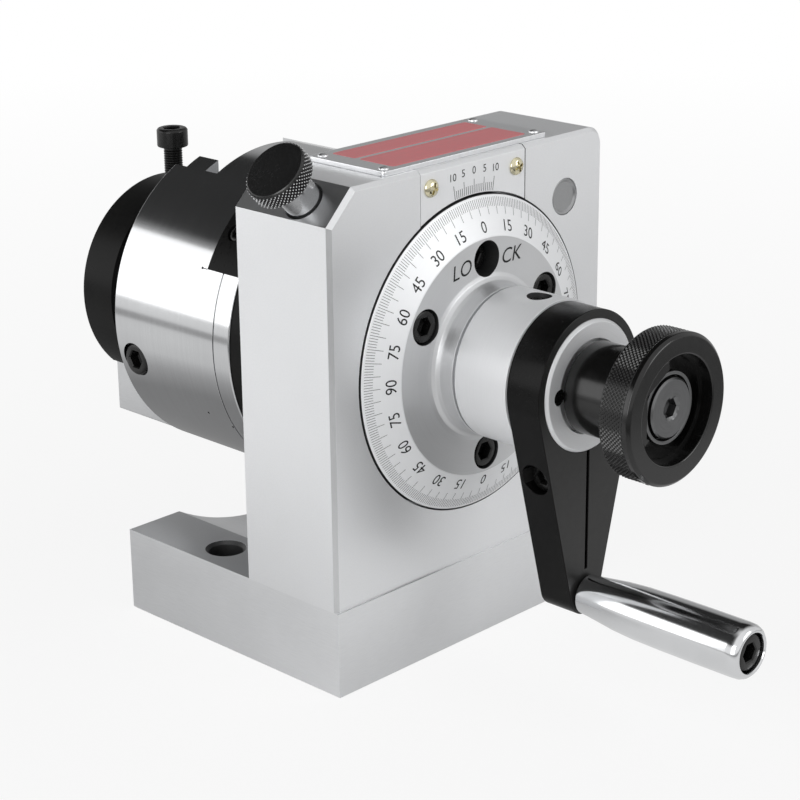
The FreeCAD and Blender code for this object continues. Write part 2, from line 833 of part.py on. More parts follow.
def plunger_spring():
    """Compression spring between the collar and the guide."""
    start = PLUNGER_COLLAR + S.plunger_collar_length
    length = PLUNGER_GUIDE - start - 2 * S.spring_wire_radius - S.running
    body = DOC.addObject("PartDesign::Body", "plunger_spring")
    place(body, plunger_at(start + S.spring_wire_radius), "plunger")
    wire = add_sketch(body, "spring_wire", "XZ_Plane")
    flats = []
    for side in range(8):
        turn = math.radians(22.5 + 45 * side)
        reach = S.spring_wire_radius
        flats.append((S.spring_radius + reach * math.cos(turn), reach * math.sin(turn)))
    draw_polygon(wire, flats)
    coil = body.newObject("PartDesign::AdditiveHelix", "spring_coil")
    coil.Profile = wire
    coil.ReferenceAxis = (wire, ["V_Axis"])
    coil.Mode = 2
    coil.Reversed = False
    bind(coil, "Height", length)
    bind(coil, "Turns", S.spring_turns)
    wire.Visibility = False
    return body


# Spindle

def spindle_shaft():
    """Stepped shaft from the knob's stud to the spindle nut."""
    nose = NECK_END + S.nose_setback
    thread_end = DRUM_START + S.spindle_nut_length + S.spindle_tail
    drilled = nose + S.stud_depth + 0.5
    bevel = S.end_bevel
    profile = [
        (nose, S.stud_radius + S.seat),
        (drilled, S.stud_radius + S.seat),
        (drilled, 0),
        (thread_end, 0),
        (thread_end, S.thread_radius - bevel),
        (thread_end - bevel, S.thread_radius),
        (DRUM_START, S.thread_radius),
        (DRUM_START, S.seat_radius),
        (PLATE_START, S.seat_radius),
        (PLATE_START, S.journal_radius),
        (INDEX_BACK, S.journal_radius),
        (INDEX_BACK, S.seat_radius),
        (DIAL_BACK, S.seat_radius),
        (DIAL_BACK, S.nose_radius),
        (nose, S.nose_radius),
    ]
    body = turned("spindle_shaft", profile)
    key = body.newObject("PartDesign::SubtractiveBox", "shaft_key_seat")
    bind(key, "Length", S.key_width)
    bind(key, "Width", S.key_length)
    bind(key, "Height", S.key_height)
    place(key, (-S.key_width / 2, DIAL_BACK + KEY_SETBACK, S.seat_radius - S.key_height / 2))
    at = (-(S.nose_radius + 0), NECK_END + KEY_PIN_SETBACK, 0)
    bore(body, "shaft_pin_seat", S.key_pin_radius, S.key_pin_length, at)
    return body


def index_plate():
    """Notched disc behind the dial."""
    front = DIAL_BACK
    back = INDEX_BACK
    inner = S.seat_radius + S.seat
    body = turned("index_plate", [(front, inner), (back, inner), (back, S.index_radius), (front, S.index_radius)])
    notch = add_sketch(body, "notch", "XZ_Plane", -front)
    bottom = S.index_radius - S.notch_depth
    wide = S.notch_half_width * (S.notch_depth + S.notch_run_out) / S.notch_depth
    top = S.index_radius + S.notch_run_out
    draw_polygon(notch, [(0, bottom), (wide, top), (-wide, top)])
    first = pocket(body, notch, S.index_thickness)
    ring = body.newObject("PartDesign::PolarPattern", "notch_ring")
    ring.Originals = [first]
    ring.Axis = (notch, ["N_Axis"])
    ring.Angle = 360
    ring.Occurrences = int(SIZES["notch_count"])
    body.Tip = ring
    DOC.recompute()
    key = body.newObject("PartDesign::SubtractiveBox", "plate_key_way")
    bind(key, "Length", S.key_width)
    bind(key, "Width", S.index_thickness)
    bind(key, "Height", S.key_height / 2 + 1)
    place(key, (-S.key_width / 2, front, S.seat_radius - 1))
    for index, angle in enumerate(SCREW_ANGLES, start=1):
        at = (S.dial_screw_circle * math.sin(math.radians(angle)), front, S.dial_screw_circle * math.cos(math.radians(angle)))
        bore(body, "plate_tap_%d" % index, S.shank_radius + S.running, S.index_thickness, at)
    bore(body, "plate_lock_tap", S.shank_radius + S.running, S.index_thickness, (0, front, S.dial_screw_circle))
    return body


def spindle_key():
    """Key between the shaft and the index plate."""
    z = AXIS_HEIGHT + S.seat_radius - S.key_height / 2
    y = FRONT + DIAL_BACK + KEY_SETBACK + S.key_length / 2
    return box("spindle_key", S.key_width, S.key_length, S.key_height, (0, y, z))


def dial_flange():
    """Graduated dial with its conical rim and hub."""
    inner = S.nose_radius + S.seat
    root = S.hub_radius + S.hub_fillet
    profile = [
        (DIAL_BACK, inner),
        (DIAL_BACK, S.dial_radius),
        (S.dial_rim_station, S.dial_radius),
        (DIAL_FACE, S.dial_cone_radius),
        (DIAL_FACE, root),
        (DIAL_FACE - S.hub_fillet * 0.3, S.hub_radius + S.hub_fillet * 0.3),
        (DIAL_FACE - S.hub_fillet, S.hub_radius),
        (HUB_END, S.hub_radius),
        (HUB_END, inner),
    ]
    body = turned("dial_flange", profile)
    for index, angle in enumerate(SCREW_ANGLES, start=1):
        x = S.dial_screw_circle * math.sin(math.radians(angle))
        z = S.dial_screw_circle * math.cos(math.radians(angle))
        bore(body, "dial_sink_%d" % index, S.dial_bore_radius, S.dial_bore_depth + 1, (x, DIAL_FACE - 1, z))
        bore(body, "dial_hole_%d" % index, S.shank_radius + S.running, 20, (x, DIAL_FACE - 1, z))
    bore(body, "lock_hole", S.lock_bore_radius, 20, (0, DIAL_FACE - 1, S.dial_screw_circle))
    return body


def dial_screws():
    """Three screws that hold the dial on the index plate."""
    screws = []
    for index, angle in enumerate(SCREW_ANGLES, start=1):
        x, z = polar(S.dial_screw_circle, angle)
        at = (x, FRONT + DIAL_FACE + S.dial_bore_depth, z)
        screws.append(m6_screw("dial_screw_%d" % index, S.dial_screw_length, at, "-Y"))
    return group("dial_screws", screws)


def lock_screw():
    """Screw in the dial's top hole that can be run against the upright."""
    head = DIAL_FACE + S.lock_screw_depth + S.lock_head_height
    at = (0, FRONT + head, AXIS_HEIGHT + S.dial_screw_circle)
    size_of_head = (S.head_radius, S.lock_head_height)
    stem = (S.shank_radius, S.lock_screw_length)
    return socket_screw("lock_screw", at, "-Y", size_of_head, stem, (S.socket_radius, S.socket_depth))


def hub_sleeve():
    """Sleeve behind the crank arm, with the neck that carries the arm."""
    inner = S.nose_radius + S.seat
    seam = HUB_END - S.seam_width
    low = S.hub_radius - S.seam_depth
    profile = [
        (HUB_END, inner),
        (HUB_END, low),
        (seam, low),
        (seam, S.hub_radius),
        (ARM_BACK, S.hub_radius),
        (ARM_BACK, S.neck_radius),
        (NECK_END + S.neck_proud, S.neck_radius),
        (NECK_END, S.neck_radius - S.neck_proud),
        (NECK_END, inner),
    ]
    body = turned("hub_sleeve", profile)
    bore(body, "sleeve_tap", S.sleeve_screw_radius, 20, (0, HUB_END - S.sleeve_screw_station, S.nose_radius - 3), "Z")
    bore(body, "sleeve_pin_seat", S.key_pin_radius, S.key_pin_length + 5, (-S.nose_radius, NECK_END - 5 + KEY_PIN_SETBACK, 0))
    return body


def sleeve_screw():
    """Grub screw that locks the sleeve on the shaft."""
    length = S.hub_radius - S.sleeve_screw_setback - S.nose_radius
    at = (0, FRONT + HUB_END - S.sleeve_screw_station, AXIS_HEIGHT + S.nose_radius)
    blank = cylinder("grub_blank", S.sleeve_screw_radius - S.seat, length, at)
    top = (at[0], at[1], at[2] + length - 2.5)
    return cut("sleeve_screw", blank, [hexagon("grub_socket", 2.0, 4, top)])


def sleeve_key_pin():
    """Round key between the sleeve and the shaft."""
    at = (-S.nose_radius, FRONT + NECK_END + KEY_PIN_SETBACK, AXIS_HEIGHT)
    return cylinder("sleeve_key_pin", S.key_pin_radius, S.key_pin_length, at, "Y")


def draw_arm(sketch):
    """Hub arc and end arc joined by two tangent lines."""
    big = SIZES["arm_hub_radius"]
    small = SIZES["arm_end_radius"]
    reach = SIZES["crank_radius"]
    lean = math.asin((big - small) / reach)
    axis = Vector(0, 0, 1)
    hub = Part.ArcOfCircle(Part.Circle(Vector(0, 0, 0), axis, big), -lean, math.pi + lean)
    end = Part.ArcOfCircle(Part.Circle(Vector(0, -reach, 0), axis, small), math.pi + lean, 2 * math.pi - lean)
    cos, sin = math.cos(lean), math.sin(lean)
    left = Part.LineSegment(Vector(-big * cos, -big * sin, 0), Vector(-small * cos, -reach - small * sin, 0))
    right = Part.LineSegment(Vector(small * cos, -reach - small * sin, 0), Vector(big * cos, -big * sin, 0))
    for piece in (hub, left, end, right):
        sketch.addGeometry(piece, False)
    rules = [("Coincident", 0, 3, -1, 1), ("PointOnObject", 2, 3, -2)]
    rules += [("Tangent", 0, 2, 1, 1), ("Tangent", 1, 2, 2, 1), ("Tangent", 2, 2, 3, 1), ("Tangent", 3, 2, 0, 1)]
    for rule in rules:
        sketch.addConstraint(Sketcher.Constraint(*rule))
    driven = [("Radius", (0,), S.arm_hub_radius), ("Radius", (2,), S.arm_end_radius)]
    driven.append(("DistanceY", (2, 3, -1, 1), S.crank_radius))
    for kind, where, value in driven:
        index = sketch.addConstraint(Sketcher.Constraint(kind, *where, value.value))
        sketch.setExpression("Constraints[%d]" % index, value.text)


def crank_arm():
    """Split arm clamped on the sleeve's neck, with the handle's seat at its end."""
    body = new_body("crank_arm", AXIS)
    outline = add_sketch(body, "arm_outline", "XZ_Plane", -ARM_BACK)
    draw_arm(outline)
    arm = pad(body, outline, S.arm_thickness)

    def on_front(point):
        return near(point.y, ARM_FRONT)

    dress(body, "Chamfer", "arm_bevel_edge", arm, "Size", S.arm_bevel, on_front)
    deep = S.arm_thickness + 2
    front = ARM_FRONT - 1
    bore(body, "arm_bore", S.neck_radius + S.seat, deep, (0, front, 0))
    bore(body, "stud_hole", S.handle_stud_radius + S.seat, deep, (0, front, -S.crank_radius))
    slit = add_sketch(body, "slit", "XZ_Plane", -front)
    half = S.slit_width / 2
    bottom = -(S.neck_radius + S.slit_length)
    top = -(S.neck_radius - 1)
    draw_polygon(slit, [(-half, bottom), (half, bottom), (half, top), (-half, top)])
    pocket(body, slit, deep)
    middle = ARM_BACK - S.arm_thickness / 2
    bore(body, "clamp_sink", S.clamp_head_radius + 0.3, 20, (-S.clamp_seat, middle, -S.clamp_drop), "-X")
    at = (-S.clamp_seat - 1, middle, -S.clamp_drop)
    bore(body, "clamp_hole", S.clamp_shank_radius + S.running, S.clamp_length + 2, at, "X")
    return body


def crank_clamp_screw():
    """Screw that draws the split arm together."""
    at = (-S.clamp_seat, FRONT + ARM_BACK - S.arm_thickness / 2, AXIS_HEIGHT - S.clamp_drop)
    head = (S.clamp_head_radius, S.clamp_head_height)
    return socket_screw("crank_clamp_screw", at, "-X", head, (S.clamp_shank_radius, S.clamp_length), (2.3, 2.6))


def grip_end():
    """Station of the handle's free end."""
    return ARM_FRONT - S.handle_gap - S.grip_length


def handle_stud():
    """Shouldered stud on which the handle turns."""
    outer = grip_end() + S.handle_head_sink
    under = outer + S.handle_head_length
    profile = [
        (ARM_BACK, 0),
        (ARM_BACK, S.handle_stud_radius),
        (under, S.handle_stud_radius),
        (under, S.handle_head_radius),
        (outer, S.handle_head_radius),
        (outer, 0),
    ]
    axis = AXIS_HEIGHT - S.crank_radius
    body = turned("handle_stud", profile, (0, FRONT, axis))
    hollow = body.newObject("PartDesign::SubtractivePrism", "stud_socket")
    hollow.Polygon = 6
    bind(hollow, "Circumradius", S.socket_radius)
    bind(hollow, "Height", S.socket_depth + 1)
    place(hollow, (0, outer - 1, 0), "Y")
    return body


def centre_stud():
    """Headed stud that carries the front knob."""
    outer = KNOB_FACE + S.cap_sink
    under = outer + S.cap_height
    end = NECK_END + S.nose_setback + S.stud_depth
    profile = [
        (outer, 0),
        (end, 0),
        (end, S.stud_radius),
        (under, S.stud_radius),
        (under, S.cap_radius),
        (outer + 0.5, S.cap_radius),
        (outer, S.cap_radius - 0.5),
    ]
    body = turned("centre_stud", profile)
    hollow = body.newObject("PartDesign::SubtractivePrism", "cap_socket")
    hollow.Polygon = 6
    bind(hollow, "Circumradius", S.socket_radius)
    bind(hollow, "Height", S.socket_depth)
    place(hollow, (0, outer - 1, 0), "Y")
    return body


def back_plate():
    """Plain disc between the upright and the drum."""
    inner = S.seat_radius + S.seat
    outer = S.drum_radius - S.back_plate_inset
    profile = [(PLATE_START, inner), (RING_START, inner), (RING_START, outer), (PLATE_START, outer)]
    body = turned("back_plate", profile)
    drum_taps(body, "back_tap")
    return body


def drum_taps(body, name, start=None):
    """Four holes for the drum screws, along the spindle."""
    for index, (x, z) in enumerate(drum_screw_places(), start=1):
        through = DRUM_END - PLATE_START + 2
        bore(body, "%s_%d" % (name, index), S.shank_radius + S.running, through, (x, PLATE_START - 1, z))


def drum_screw_places():
    """X and Z of the drum screws from the spindle axis."""
    x, z = S.drum_screw_x, S.drum_screw_z
    return [(-x, -z), (x, -z), (x, z), (-x, z)]


def drum_ring():
    """Register ring in front of the drum."""
    inner = S.seat_radius + S.seat
    outer = S.drum_radius
    bevel = S.drum_bevel
    profile = [
        (RING_START, inner),
        (DRUM_START, inner),
        (DRUM_START, outer),
        (RING_START + bevel, outer),
        (RING_START, outer - bevel),
    ]
    body = turned("drum_ring", profile)
    drum_taps(body, "ring_clear")
    return cut_stop_seat("drum_ring", body)


def cut_stop_seat(label, body):
    """Take the stop segment's seat out of a drum part, which then carries the label."""
    body.Label = label + "_blank"
    seat = stop_sector(label + "_seat", S.drum_radius + 2, S.drum_radius - S.stop_thickness)
    piece = cut(label + "_cut", body, [seat])
    piece.Label = label
    return piece


def stop_sector(name, outer, inner):
    """Sector between two radii over the stop segment's angle and length."""
    turn = Rotation(Vector(0, 1, 0), -SIZES["stop_angle"] - SIZES["stop_span"] / 2 - 90)
    turn = turn.multiply(TURNS["Y"])
    at = (0, FRONT + RING_START, AXIS_HEIGHT)
    length = DRUM_START - RING_START + S.stop_overlap
    blank = cylinder(name + "_blank", outer, length, at, turn)
    bind(blank, "Angle", S.stop_span)
    return cut(name, blank, [cylinder(name + "_core", inner, length, at, "Y")])


def drum():
    """Drum with the vertical guideway of the V-block's carriage."""
    bevel = S.drum_bevel
    outer = S.drum_radius
    cavity = DRUM_START + S.drum_cavity_depth
    profile = [
        (DRUM_START, S.drum_cavity_radius),
        (DRUM_START, outer),
        (DRUM_END - bevel, outer),
        (DRUM_END, outer - bevel),
        (DRUM_END, S.drum_bore_radius),
        (cavity, S.drum_bore_radius),
        (cavity, S.drum_cavity_radius),
    ]
    body = turned("drum", profile)
    slot = add_sketch(body, "guideway", "XY_Plane")
    wide, narrow = S.slot_half_width, S.rib_half_width
    end = DRUM_END + 1
    right = [(wide, SLOT_FLOOR), (wide, RIB_FRONT), (narrow, RIB_FRONT), (narrow, RIB_BACK), (wide, RIB_BACK), (wide, end)]
    left = [(-x, y) for x, y in reversed(right)]
    draw_polygon(slot, right + left)
    DOC.recompute()
    before = body.Shape.Volume
    cutter = body.newObject("PartDesign::Pocket", "guideway_pocket")
    cutter.Profile = slot
    cutter.Midplane = True
    bind(cutter, "Length", 2 * outer + 4)
    DOC.recompute()
    if cutter.Shape.Volume >= before:
        raise RuntimeError("the guideway cuts nothing")
    drum_taps(body, "drum_clear")
    for index, (x, z) in enumerate(drum_screw_places(), start=1):
        depth = S.drum_screw_sink + 1
        bore(body, "drum_sink_%d" % index, S.dial_bore_radius, depth, (x, SLOT_FLOOR - S.drum_screw_sink, z))
    station = DRUM_END - S.slide_lock_setback
    low = -S.slide_lock_drop
    bore(body, "lock_sink", S.slide_lock_bore, 20, (-S.slide_lock_seat, station, low), "-X")
    length = S.slide_lock_seat - S.slide_lock_shoulder + 1
    bore(body, "lock_tap", S.shank_radius + S.running, length, (-S.slide_lock_shoulder + 1, station, low), "-X")
    length = S.slide_lock_shoulder - S.rib_half_width + 3
    radius = S.slide_lock_tip_radius + S.running
    bore(body, "lock_tip_hole", radius, length, (1 - S.rib_half_width, station, low), "-X")
    x, z = stop_point(S.drum_radius - S.stop_thickness - S.stop_screw_length)
    turn = Rotation(Vector(0, 1, 0), -SIZES["stop_angle"])
    bore(body, "stop_tap", S.stop_screw_radius + S.running, 20, (x, stop_station(), z), turn)
    return cut_stop_seat("drum", body)


def stop_station():
    """Station of the stop segment's screw."""
    return DRUM_START + S.stop_screw_setback


def stop_point(reach):
    """X and Z of a point on the stop segment's middle line, from the spindle axis."""
    angle = S.stop_angle
    return -reach * sine(angle), reach * cosine(angle)


def drum_screws():
    """Four screws that hold the drum and ring on the back plate."""
    screws = []
    for index, (x, z) in enumerate(drum_screw_places(), start=1):
        at = (x, FRONT + SLOT_FLOOR - S.drum_screw_sink, AXIS_HEIGHT + z)
        screws.append(m6_screw("drum_screw_%d" % index, S.drum_screw_length, at, "Y"))
    return group("drum_screws", screws)


def spindle_nut():
    """Slotted nut that draws the back plate against the journal's shoulder."""
    start = DRUM_START
    end = start + S.spindle_nut_length
    inner = S.thread_radius + S.seat
    outer = S.spindle_nut_radius
    profile = [(start, inner), (end, inner), (end, outer - 1), (end - 1, outer), (start, outer)]
    body = turned("spindle_nut", profile)
    notch = add_sketch(body, "nut_slot", "XZ_Plane", -(end - 5))
    draw_polygon(notch, [(-2.5, outer - 3), (2.5, outer - 3), (2.5, outer + 1), (-2.5, outer + 1)])
    first = pocket(body, notch, 6)
    ring = body.newObject("PartDesign::PolarPattern", "nut_slots")
    ring.Originals = [first]
    ring.Axis = (notch, ["N_Axis"])
    ring.Angle = 360
    ring.Occurrences = 4
    body.Tip = ring
    return body


def stop_segment():
    """Hard segment let into the drum's rim."""
    blank = stop_sector("stop_blank", S.drum_radius, S.drum_radius - S.stop_thickness)
    x, z = stop_point(S.drum_radius - S.stop_thickness - 2)
    turn = Rotation(Vector(0, 1, 0), -SIZES["stop_angle"])
    at = (x, FRONT + stop_station(), AXIS_HEIGHT + z)
    through = cylinder("stop_hole", S.stop_screw_radius + S.running, 20, at, turn)
    x, z = stop_point(S.drum_radius - S.stop_head_height - 0.4)
    at = (x, FRONT + stop_station(), AXIS_HEIGHT + z)
    sink = cylinder("stop_sink", S.stop_head_radius + S.running, 20, at, turn)
    return cut("stop_segment", blank, [through, sink])


def stop_screw():
    """Screw of the stop segment, sunk under its surface."""
    x, z = stop_point(S.drum_radius - S.stop_head_height - 0.4)
    at = (x, FRONT + stop_station(), AXIS_HEIGHT + z)
    turn = Rotation(Vector(0, 1, 0), -SIZES["stop_angle"])
    head = (S.stop_head_radius, S.stop_head_height)
    return socket_screw("stop_screw", at, turn, head, (S.stop_screw_radius, S.stop_screw_length), (1.5, 1.4))


# Pieces that turn on the spindle

def handle_grip():
    """Turned handle that spins on its stud."""
    start = ARM_FRONT - S.handle_gap
    end = grip_end()
    swell = start - S.grip_swell
    inner = S.handle_stud_radius + S.running
    floor = end + S.handle_head_sink + S.handle_head_length + S.handle_head_gap
    turn = S.grip_round
    profile = [
        (start, inner),
        (start, S.grip_neck_radius - 0.4),
        (start - 0.4, S.grip_neck_radius),
        (start - S.grip_swell * 0.5, (S.grip_neck_radius + S.grip_radius) / 2 + 0.35),
        (swell, S.grip_radius),
        (end + 2 * turn, S.grip_end_radius),
        (end + turn * 0.4, S.grip_end_radius - turn * 0.35),
        (end, S.grip_end_radius - turn),
        (end, S.handle_bore_radius),
        (floor, S.handle_bore_radius),
        (floor, inner),
    ]
    return turned("handle_grip", profile, (0, FRONT, AXIS_HEIGHT - S.crank_radius))


def front_knob():
    """Knob with a stepped pocket and a six-sided recess in its face."""
    inner = S.stud_radius + S.running
    well = KNOB_FACE + S.knob_well_depth
    bevel = S.knob_bevel
    profile = [
        (KNOB_START, inner),
        (KNOB_START, S.knob_shank_radius - bevel),
        (KNOB_START - bevel, S.knob_shank_radius),
        (KNOB_BACK, S.knob_shank_radius),
        (KNOB_BACK, S.knob_radius - bevel),
        (KNOB_BACK - bevel, S.knob_radius),
        (KNOB_FACE + bevel, S.knob_radius),
        (KNOB_FACE, S.knob_radius - bevel),
        (KNOB_FACE, S.knob_ring_radius + S.seat),
        (well, S.knob_ring_radius + S.seat),
        (well, inner),
    ]
    body = turned("front_knob_body", profile)
    turn = Rotation(Vector(0, 1, 0), SIZES["pocket_start"] - 90).multiply(TURNS["Y"])
    tools = []
    for name, radius, depth in (("ledge", S.pocket_radius, S.pocket_step), ("floor", S.pocket_floor_radius, S.pocket_depth)):
        at = (0, FRONT + KNOB_FACE - 1, AXIS_HEIGHT)
        sector = cylinder("knob_" + name, radius, depth + 1, at, turn)
        bind(sector, "Angle", S.pocket_angle)
        core = cylinder("knob_%s_core" % name, S.knob_ring_radius, depth + 1, at, "Y")
        tools.append(cut("knob_%s_tool" % name, sector, [core]))
    tools.append(hexagon("knob_hex", S.hex_radius, S.hex_depth + 1, (0, FRONT + KNOB_FACE - 1, AXIS_HEIGHT), HEX_TURN))
    return cut("front_knob", body, tools)


def knob_ring():
    """Liner ring around the stud's head."""
    end = KNOB_FACE + S.knob_well_depth
    start = end - S.knob_ring_height
    inner = S.knob_ring_bore
    outer = S.knob_ring_radius
    return turned("knob_ring", [(start, inner), (end, inner), (end, outer), (start, outer)])


def v_block():
    """V-block and its carriage in one piece."""
    body = new_body("v_block", AXIS)
    play = S.slide_play
    wide = S.slot_half_width - play
    narrow = S.rib_half_width - play
    outline = add_sketch(body, "block_outline", "XY_Plane", S.block_bottom)
    right = [
        (wide, SLOT_FLOOR + play),
        (wide, RIB_FRONT - play),
        (narrow, RIB_FRONT - play),
        (narrow, RIB_BACK + play),
        (wide, RIB_BACK + play),
        (wide, BLOCK_END),
    ]
    left = [(-x, y) for x, y in reversed(right)]
    draw_polygon(outline, right + left)
    pad(body, outline, S.carriage_top - S.block_bottom)
    upper = add_sketch(body, "upper_cut", "YZ_Plane")
    back = BLOCK_END + 1
    start = DRUM_END + S.v_wall
    top = S.carriage_top + 1
    draw_polygon(upper, [(start, S.block_top), (back, S.block_top), (back, top), (start, top)])
    both_sides(body, upper, 3 * wide)
    vee = add_sketch(body, "vee", "XZ_Plane", -start)
    rise = S.block_top - S.v_apex + 1
    low = S.v_apex - S.relief_depth
    half = S.relief_width / 2
    points = [(-half, low), (half, low), (half, S.v_apex + half), (rise, S.block_top + 1)]
    points += [(-rise, S.block_top + 1), (-half, S.v_apex + half)]
    draw_polygon(vee, points)
    pocket(body, vee, S.block_overhang)
    for name, sign in (("groove_left", -1), ("groove_right", 1)):
        groove = add_sketch(body, name, "XZ_Plane", -start)
        inner = sign * (wide - S.groove_depth)
        outer = sign * (wide + 1)
        top = S.groove_bottom + S.groove_height
        draw_polygon(groove, [(inner, S.groove_bottom), (outer, S.groove_bottom), (outer, top), (inner, top)])
        pocket(body, groove, S.block_overhang)
    return body


def both_sides(body, sketch, length):
    """Pocket that runs both ways from its sketch plane."""
    feature = pocket(body, sketch, length)
    feature.Midplane = True
    return feature


def slide_lock_screw():
    """Screw in the drum's side that clamps the carriage."""
    under = S.slide_lock_seat + S.slide_lock_lift
    length = under - S.slide_lock_shoulder - 0.6
    at = (-under, FRONT + DRUM_END - S.slide_lock_setback, AXIS_HEIGHT - S.slide_lock_drop)
    stop = S.rib_half_width - S.slide_play + S.slide_lock_tip_gap
    head = (S.head_radius, S.head_height)
    screw = socket_screw("slide_lock_blank", at, "-X", head, (S.shank_radius, length), (S.socket_radius, S.socket_depth))
    tip_at = (-stop, at[1], at[2])
    tip = cylinder("slide_lock_tip", S.slide_lock_tip_radius, S.slide_lock_shoulder + 2 - stop, tip_at, "-X")
    return fuse("slide_lock_screw", [screw, tip])


def clamp_yoke():
    """C-shaped yoke that hooks into the V-block's side grooves."""
    y = FRONT + YOKE_FRONT
    deep = S.yoke_thickness
    axis = AXIS_HEIGHT + S.yoke_axis
    blank = cylinder("yoke_blank", S.yoke_radius, deep, (0, y, axis), "Y")
    wide = S.slot_half_width - S.slide_play + S.yoke_play
    through = deep + 2
    centre = AXIS_HEIGHT + S.yoke_bore_height
    inside = cylinder("yoke_round", S.yoke_bore_radius, through, (0, y - 1, centre), "Y")
    middle = y + deep / 2
    low = axis - S.yoke_radius - 2
    gap = box("yoke_gap", 2 * wide, through, centre - low, (0, middle, low))
    foot = box("yoke_foot_cut", 3 * S.yoke_radius, through, AXIS_HEIGHT + S.yoke_foot - low, (0, middle, low))
    tap_at = (0, middle, centre)
    tap = cylinder("yoke_tap", S.shank_radius + S.running, 2 * S.yoke_radius, tap_at)
    ring = cut("yoke_ring", blank, [inside, gap, foot, tap])
    hooks = []
    for name, sign in (("left", -1), ("right", 1)):
        width = S.groove_depth + 0.6
        x = sign * (wide - S.groove_depth + width / 2)
        z = AXIS_HEIGHT + S.groove_bottom + S.yoke_play
        hooks.append(box("yoke_hook_" + name, width, deep, S.groove_height - 2 * S.yoke_play, (x, middle, z)))
    return fuse("clamp_yoke", [ring] + hooks)


def clamp_screw():
    """Long screw through the top of the yoke."""
    z = AXIS_HEIGHT + S.yoke_axis + S.yoke_radius + S.clamp_screw_lift
    at = (0, FRONT + YOKE_FRONT + S.yoke_thickness / 2, z)
    return m6_screw("clamp_screw", S.clamp_screw_length, at, "Z")


SCREW_ANGLES = (-60, 60, 180)
KEY_SETBACK = 1.5
KEY_PIN_SETBACK = 0.6
HEX_TURN = Rotation(Vector(0, 1, 0), -90).multiply(TURNS["Y"])

NODES = [
    frame_casting, vernier_plate, vernier_screws, name_plate, name_plate_rivets, face_plug,
    journal_bush, thrust_washer, plunger_guide, plunger_pin, plunger_knob, plunger_spring,
    spindle_shaft, index_plate, spindle_key, dial_flange, dial_screws, lock_screw, hub_sleeve,
    sleeve_screw, sleeve_key_pin, crank_arm, crank_clamp_screw, handle_stud, centre_stud,
    back_plate, drum_ring, drum, drum_screws, spindle_nut, stop_segment, stop_screw,
    handle_grip, front_knob, knob_ring, v_block, slide_lock_screw, clamp_yoke, clamp_screw,
]


def main():
    """Build every sub-part, check it and write it out."""
    made = [(build.__name__, build()) for build in NODES]
    DOC.recompute()
    for obj in DOC.Objects:
        if any(state in ("Invalid", "Error") for state in obj.State):
            raise RuntimeError("%s has the state %s" % (obj.Label, obj.State))
    os.makedirs("parts", exist_ok=True)
    for name, obj in made:
        shape = obj.Shape
        if obj.Label != name or shape.isNull() or not shape.isValid() or not shape.Solids:
            raise RuntimeError("%s has no sound solid" % name)
        shape.exportStep("parts/%s.step" % name)
        print("%-20s solids %d, volume %.1f mm3" % (name, len(shape.Solids), shape.Volume))


main()
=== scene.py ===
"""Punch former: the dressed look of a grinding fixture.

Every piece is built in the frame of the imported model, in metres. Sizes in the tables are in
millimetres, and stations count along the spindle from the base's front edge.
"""

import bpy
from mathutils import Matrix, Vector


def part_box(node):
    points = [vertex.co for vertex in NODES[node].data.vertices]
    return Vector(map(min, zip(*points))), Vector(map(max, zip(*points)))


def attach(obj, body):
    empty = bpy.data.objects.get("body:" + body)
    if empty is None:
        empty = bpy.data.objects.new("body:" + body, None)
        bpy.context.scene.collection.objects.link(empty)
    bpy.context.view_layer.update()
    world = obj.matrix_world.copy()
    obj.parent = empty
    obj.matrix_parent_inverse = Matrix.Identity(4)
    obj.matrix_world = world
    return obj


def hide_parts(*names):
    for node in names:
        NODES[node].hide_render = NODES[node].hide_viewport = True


bl_info = {
    "name": "Punch Former",
    "version": (1, 0, 0),
    "blender": (4, 5, 0),
    "location": "View3D > Sidebar > Punch Former",
    "description": "Dresses a punch former with its dial, knurled knobs, drum and finishes",
    "category": "Object",
}

import math

import bmesh
import bpy
from bpy.props import FloatProperty, FloatVectorProperty, IntProperty, PointerProperty
from mathutils import Matrix, Vector

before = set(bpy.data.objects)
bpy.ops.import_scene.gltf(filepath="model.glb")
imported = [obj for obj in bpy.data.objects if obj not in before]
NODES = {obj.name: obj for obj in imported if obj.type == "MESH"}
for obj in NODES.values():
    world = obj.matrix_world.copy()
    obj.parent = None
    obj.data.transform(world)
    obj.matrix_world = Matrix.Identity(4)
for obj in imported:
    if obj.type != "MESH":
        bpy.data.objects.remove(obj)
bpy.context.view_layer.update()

MM = 0.001
FRONT = -46.0
AXIS_Z = 90.0
CRANK = 62.7
BASE_TOP = 26.4
DIAL_FACE = -4.3
DIAL_RIM = 0.2
DIAL_EDGE = 46.5
DIAL_CONE = 35.4
SOUTH = Vector((0, -1, 0))
NORTH = Vector((0, 1, 0))
UP = Vector((0, 0, 1))
WEST = Vector((-1, 0, 0))
PLUNGER_OUT = Vector((-1, 0, 1)).normalized()
PLUNGER_STATION = 14.7
PULL_REACH = 89.4
SCREW_CIRCLE = 29.2
SCREW_ANGLES = (-60, 60, 180)
M6_SOCKET = (2.9, 3.2)


# Places and frames

def spot(x, station, z):
    """Point in metres from millimetres and a station."""
    return Vector((x, FRONT + station, z)) * MM


def axis_frame(point, direction):
    """Frame at a point, with its Z along a direction."""
    direction = Vector(direction)
    return Matrix.Translation(point) @ direction.to_track_quat("Z", "Y").to_matrix().to_4x4()


SPINDLE = axis_frame(spot(0, 0, AXIS_Z), NORTH)


def on_dial(radius, degrees, station):
    """Point at a radius and an angle from the top, clockwise as the dial is faced."""
    angle = math.radians(degrees)
    return spot(radius * math.sin(angle), station, AXIS_Z + radius * math.cos(angle))


# Mesh tools

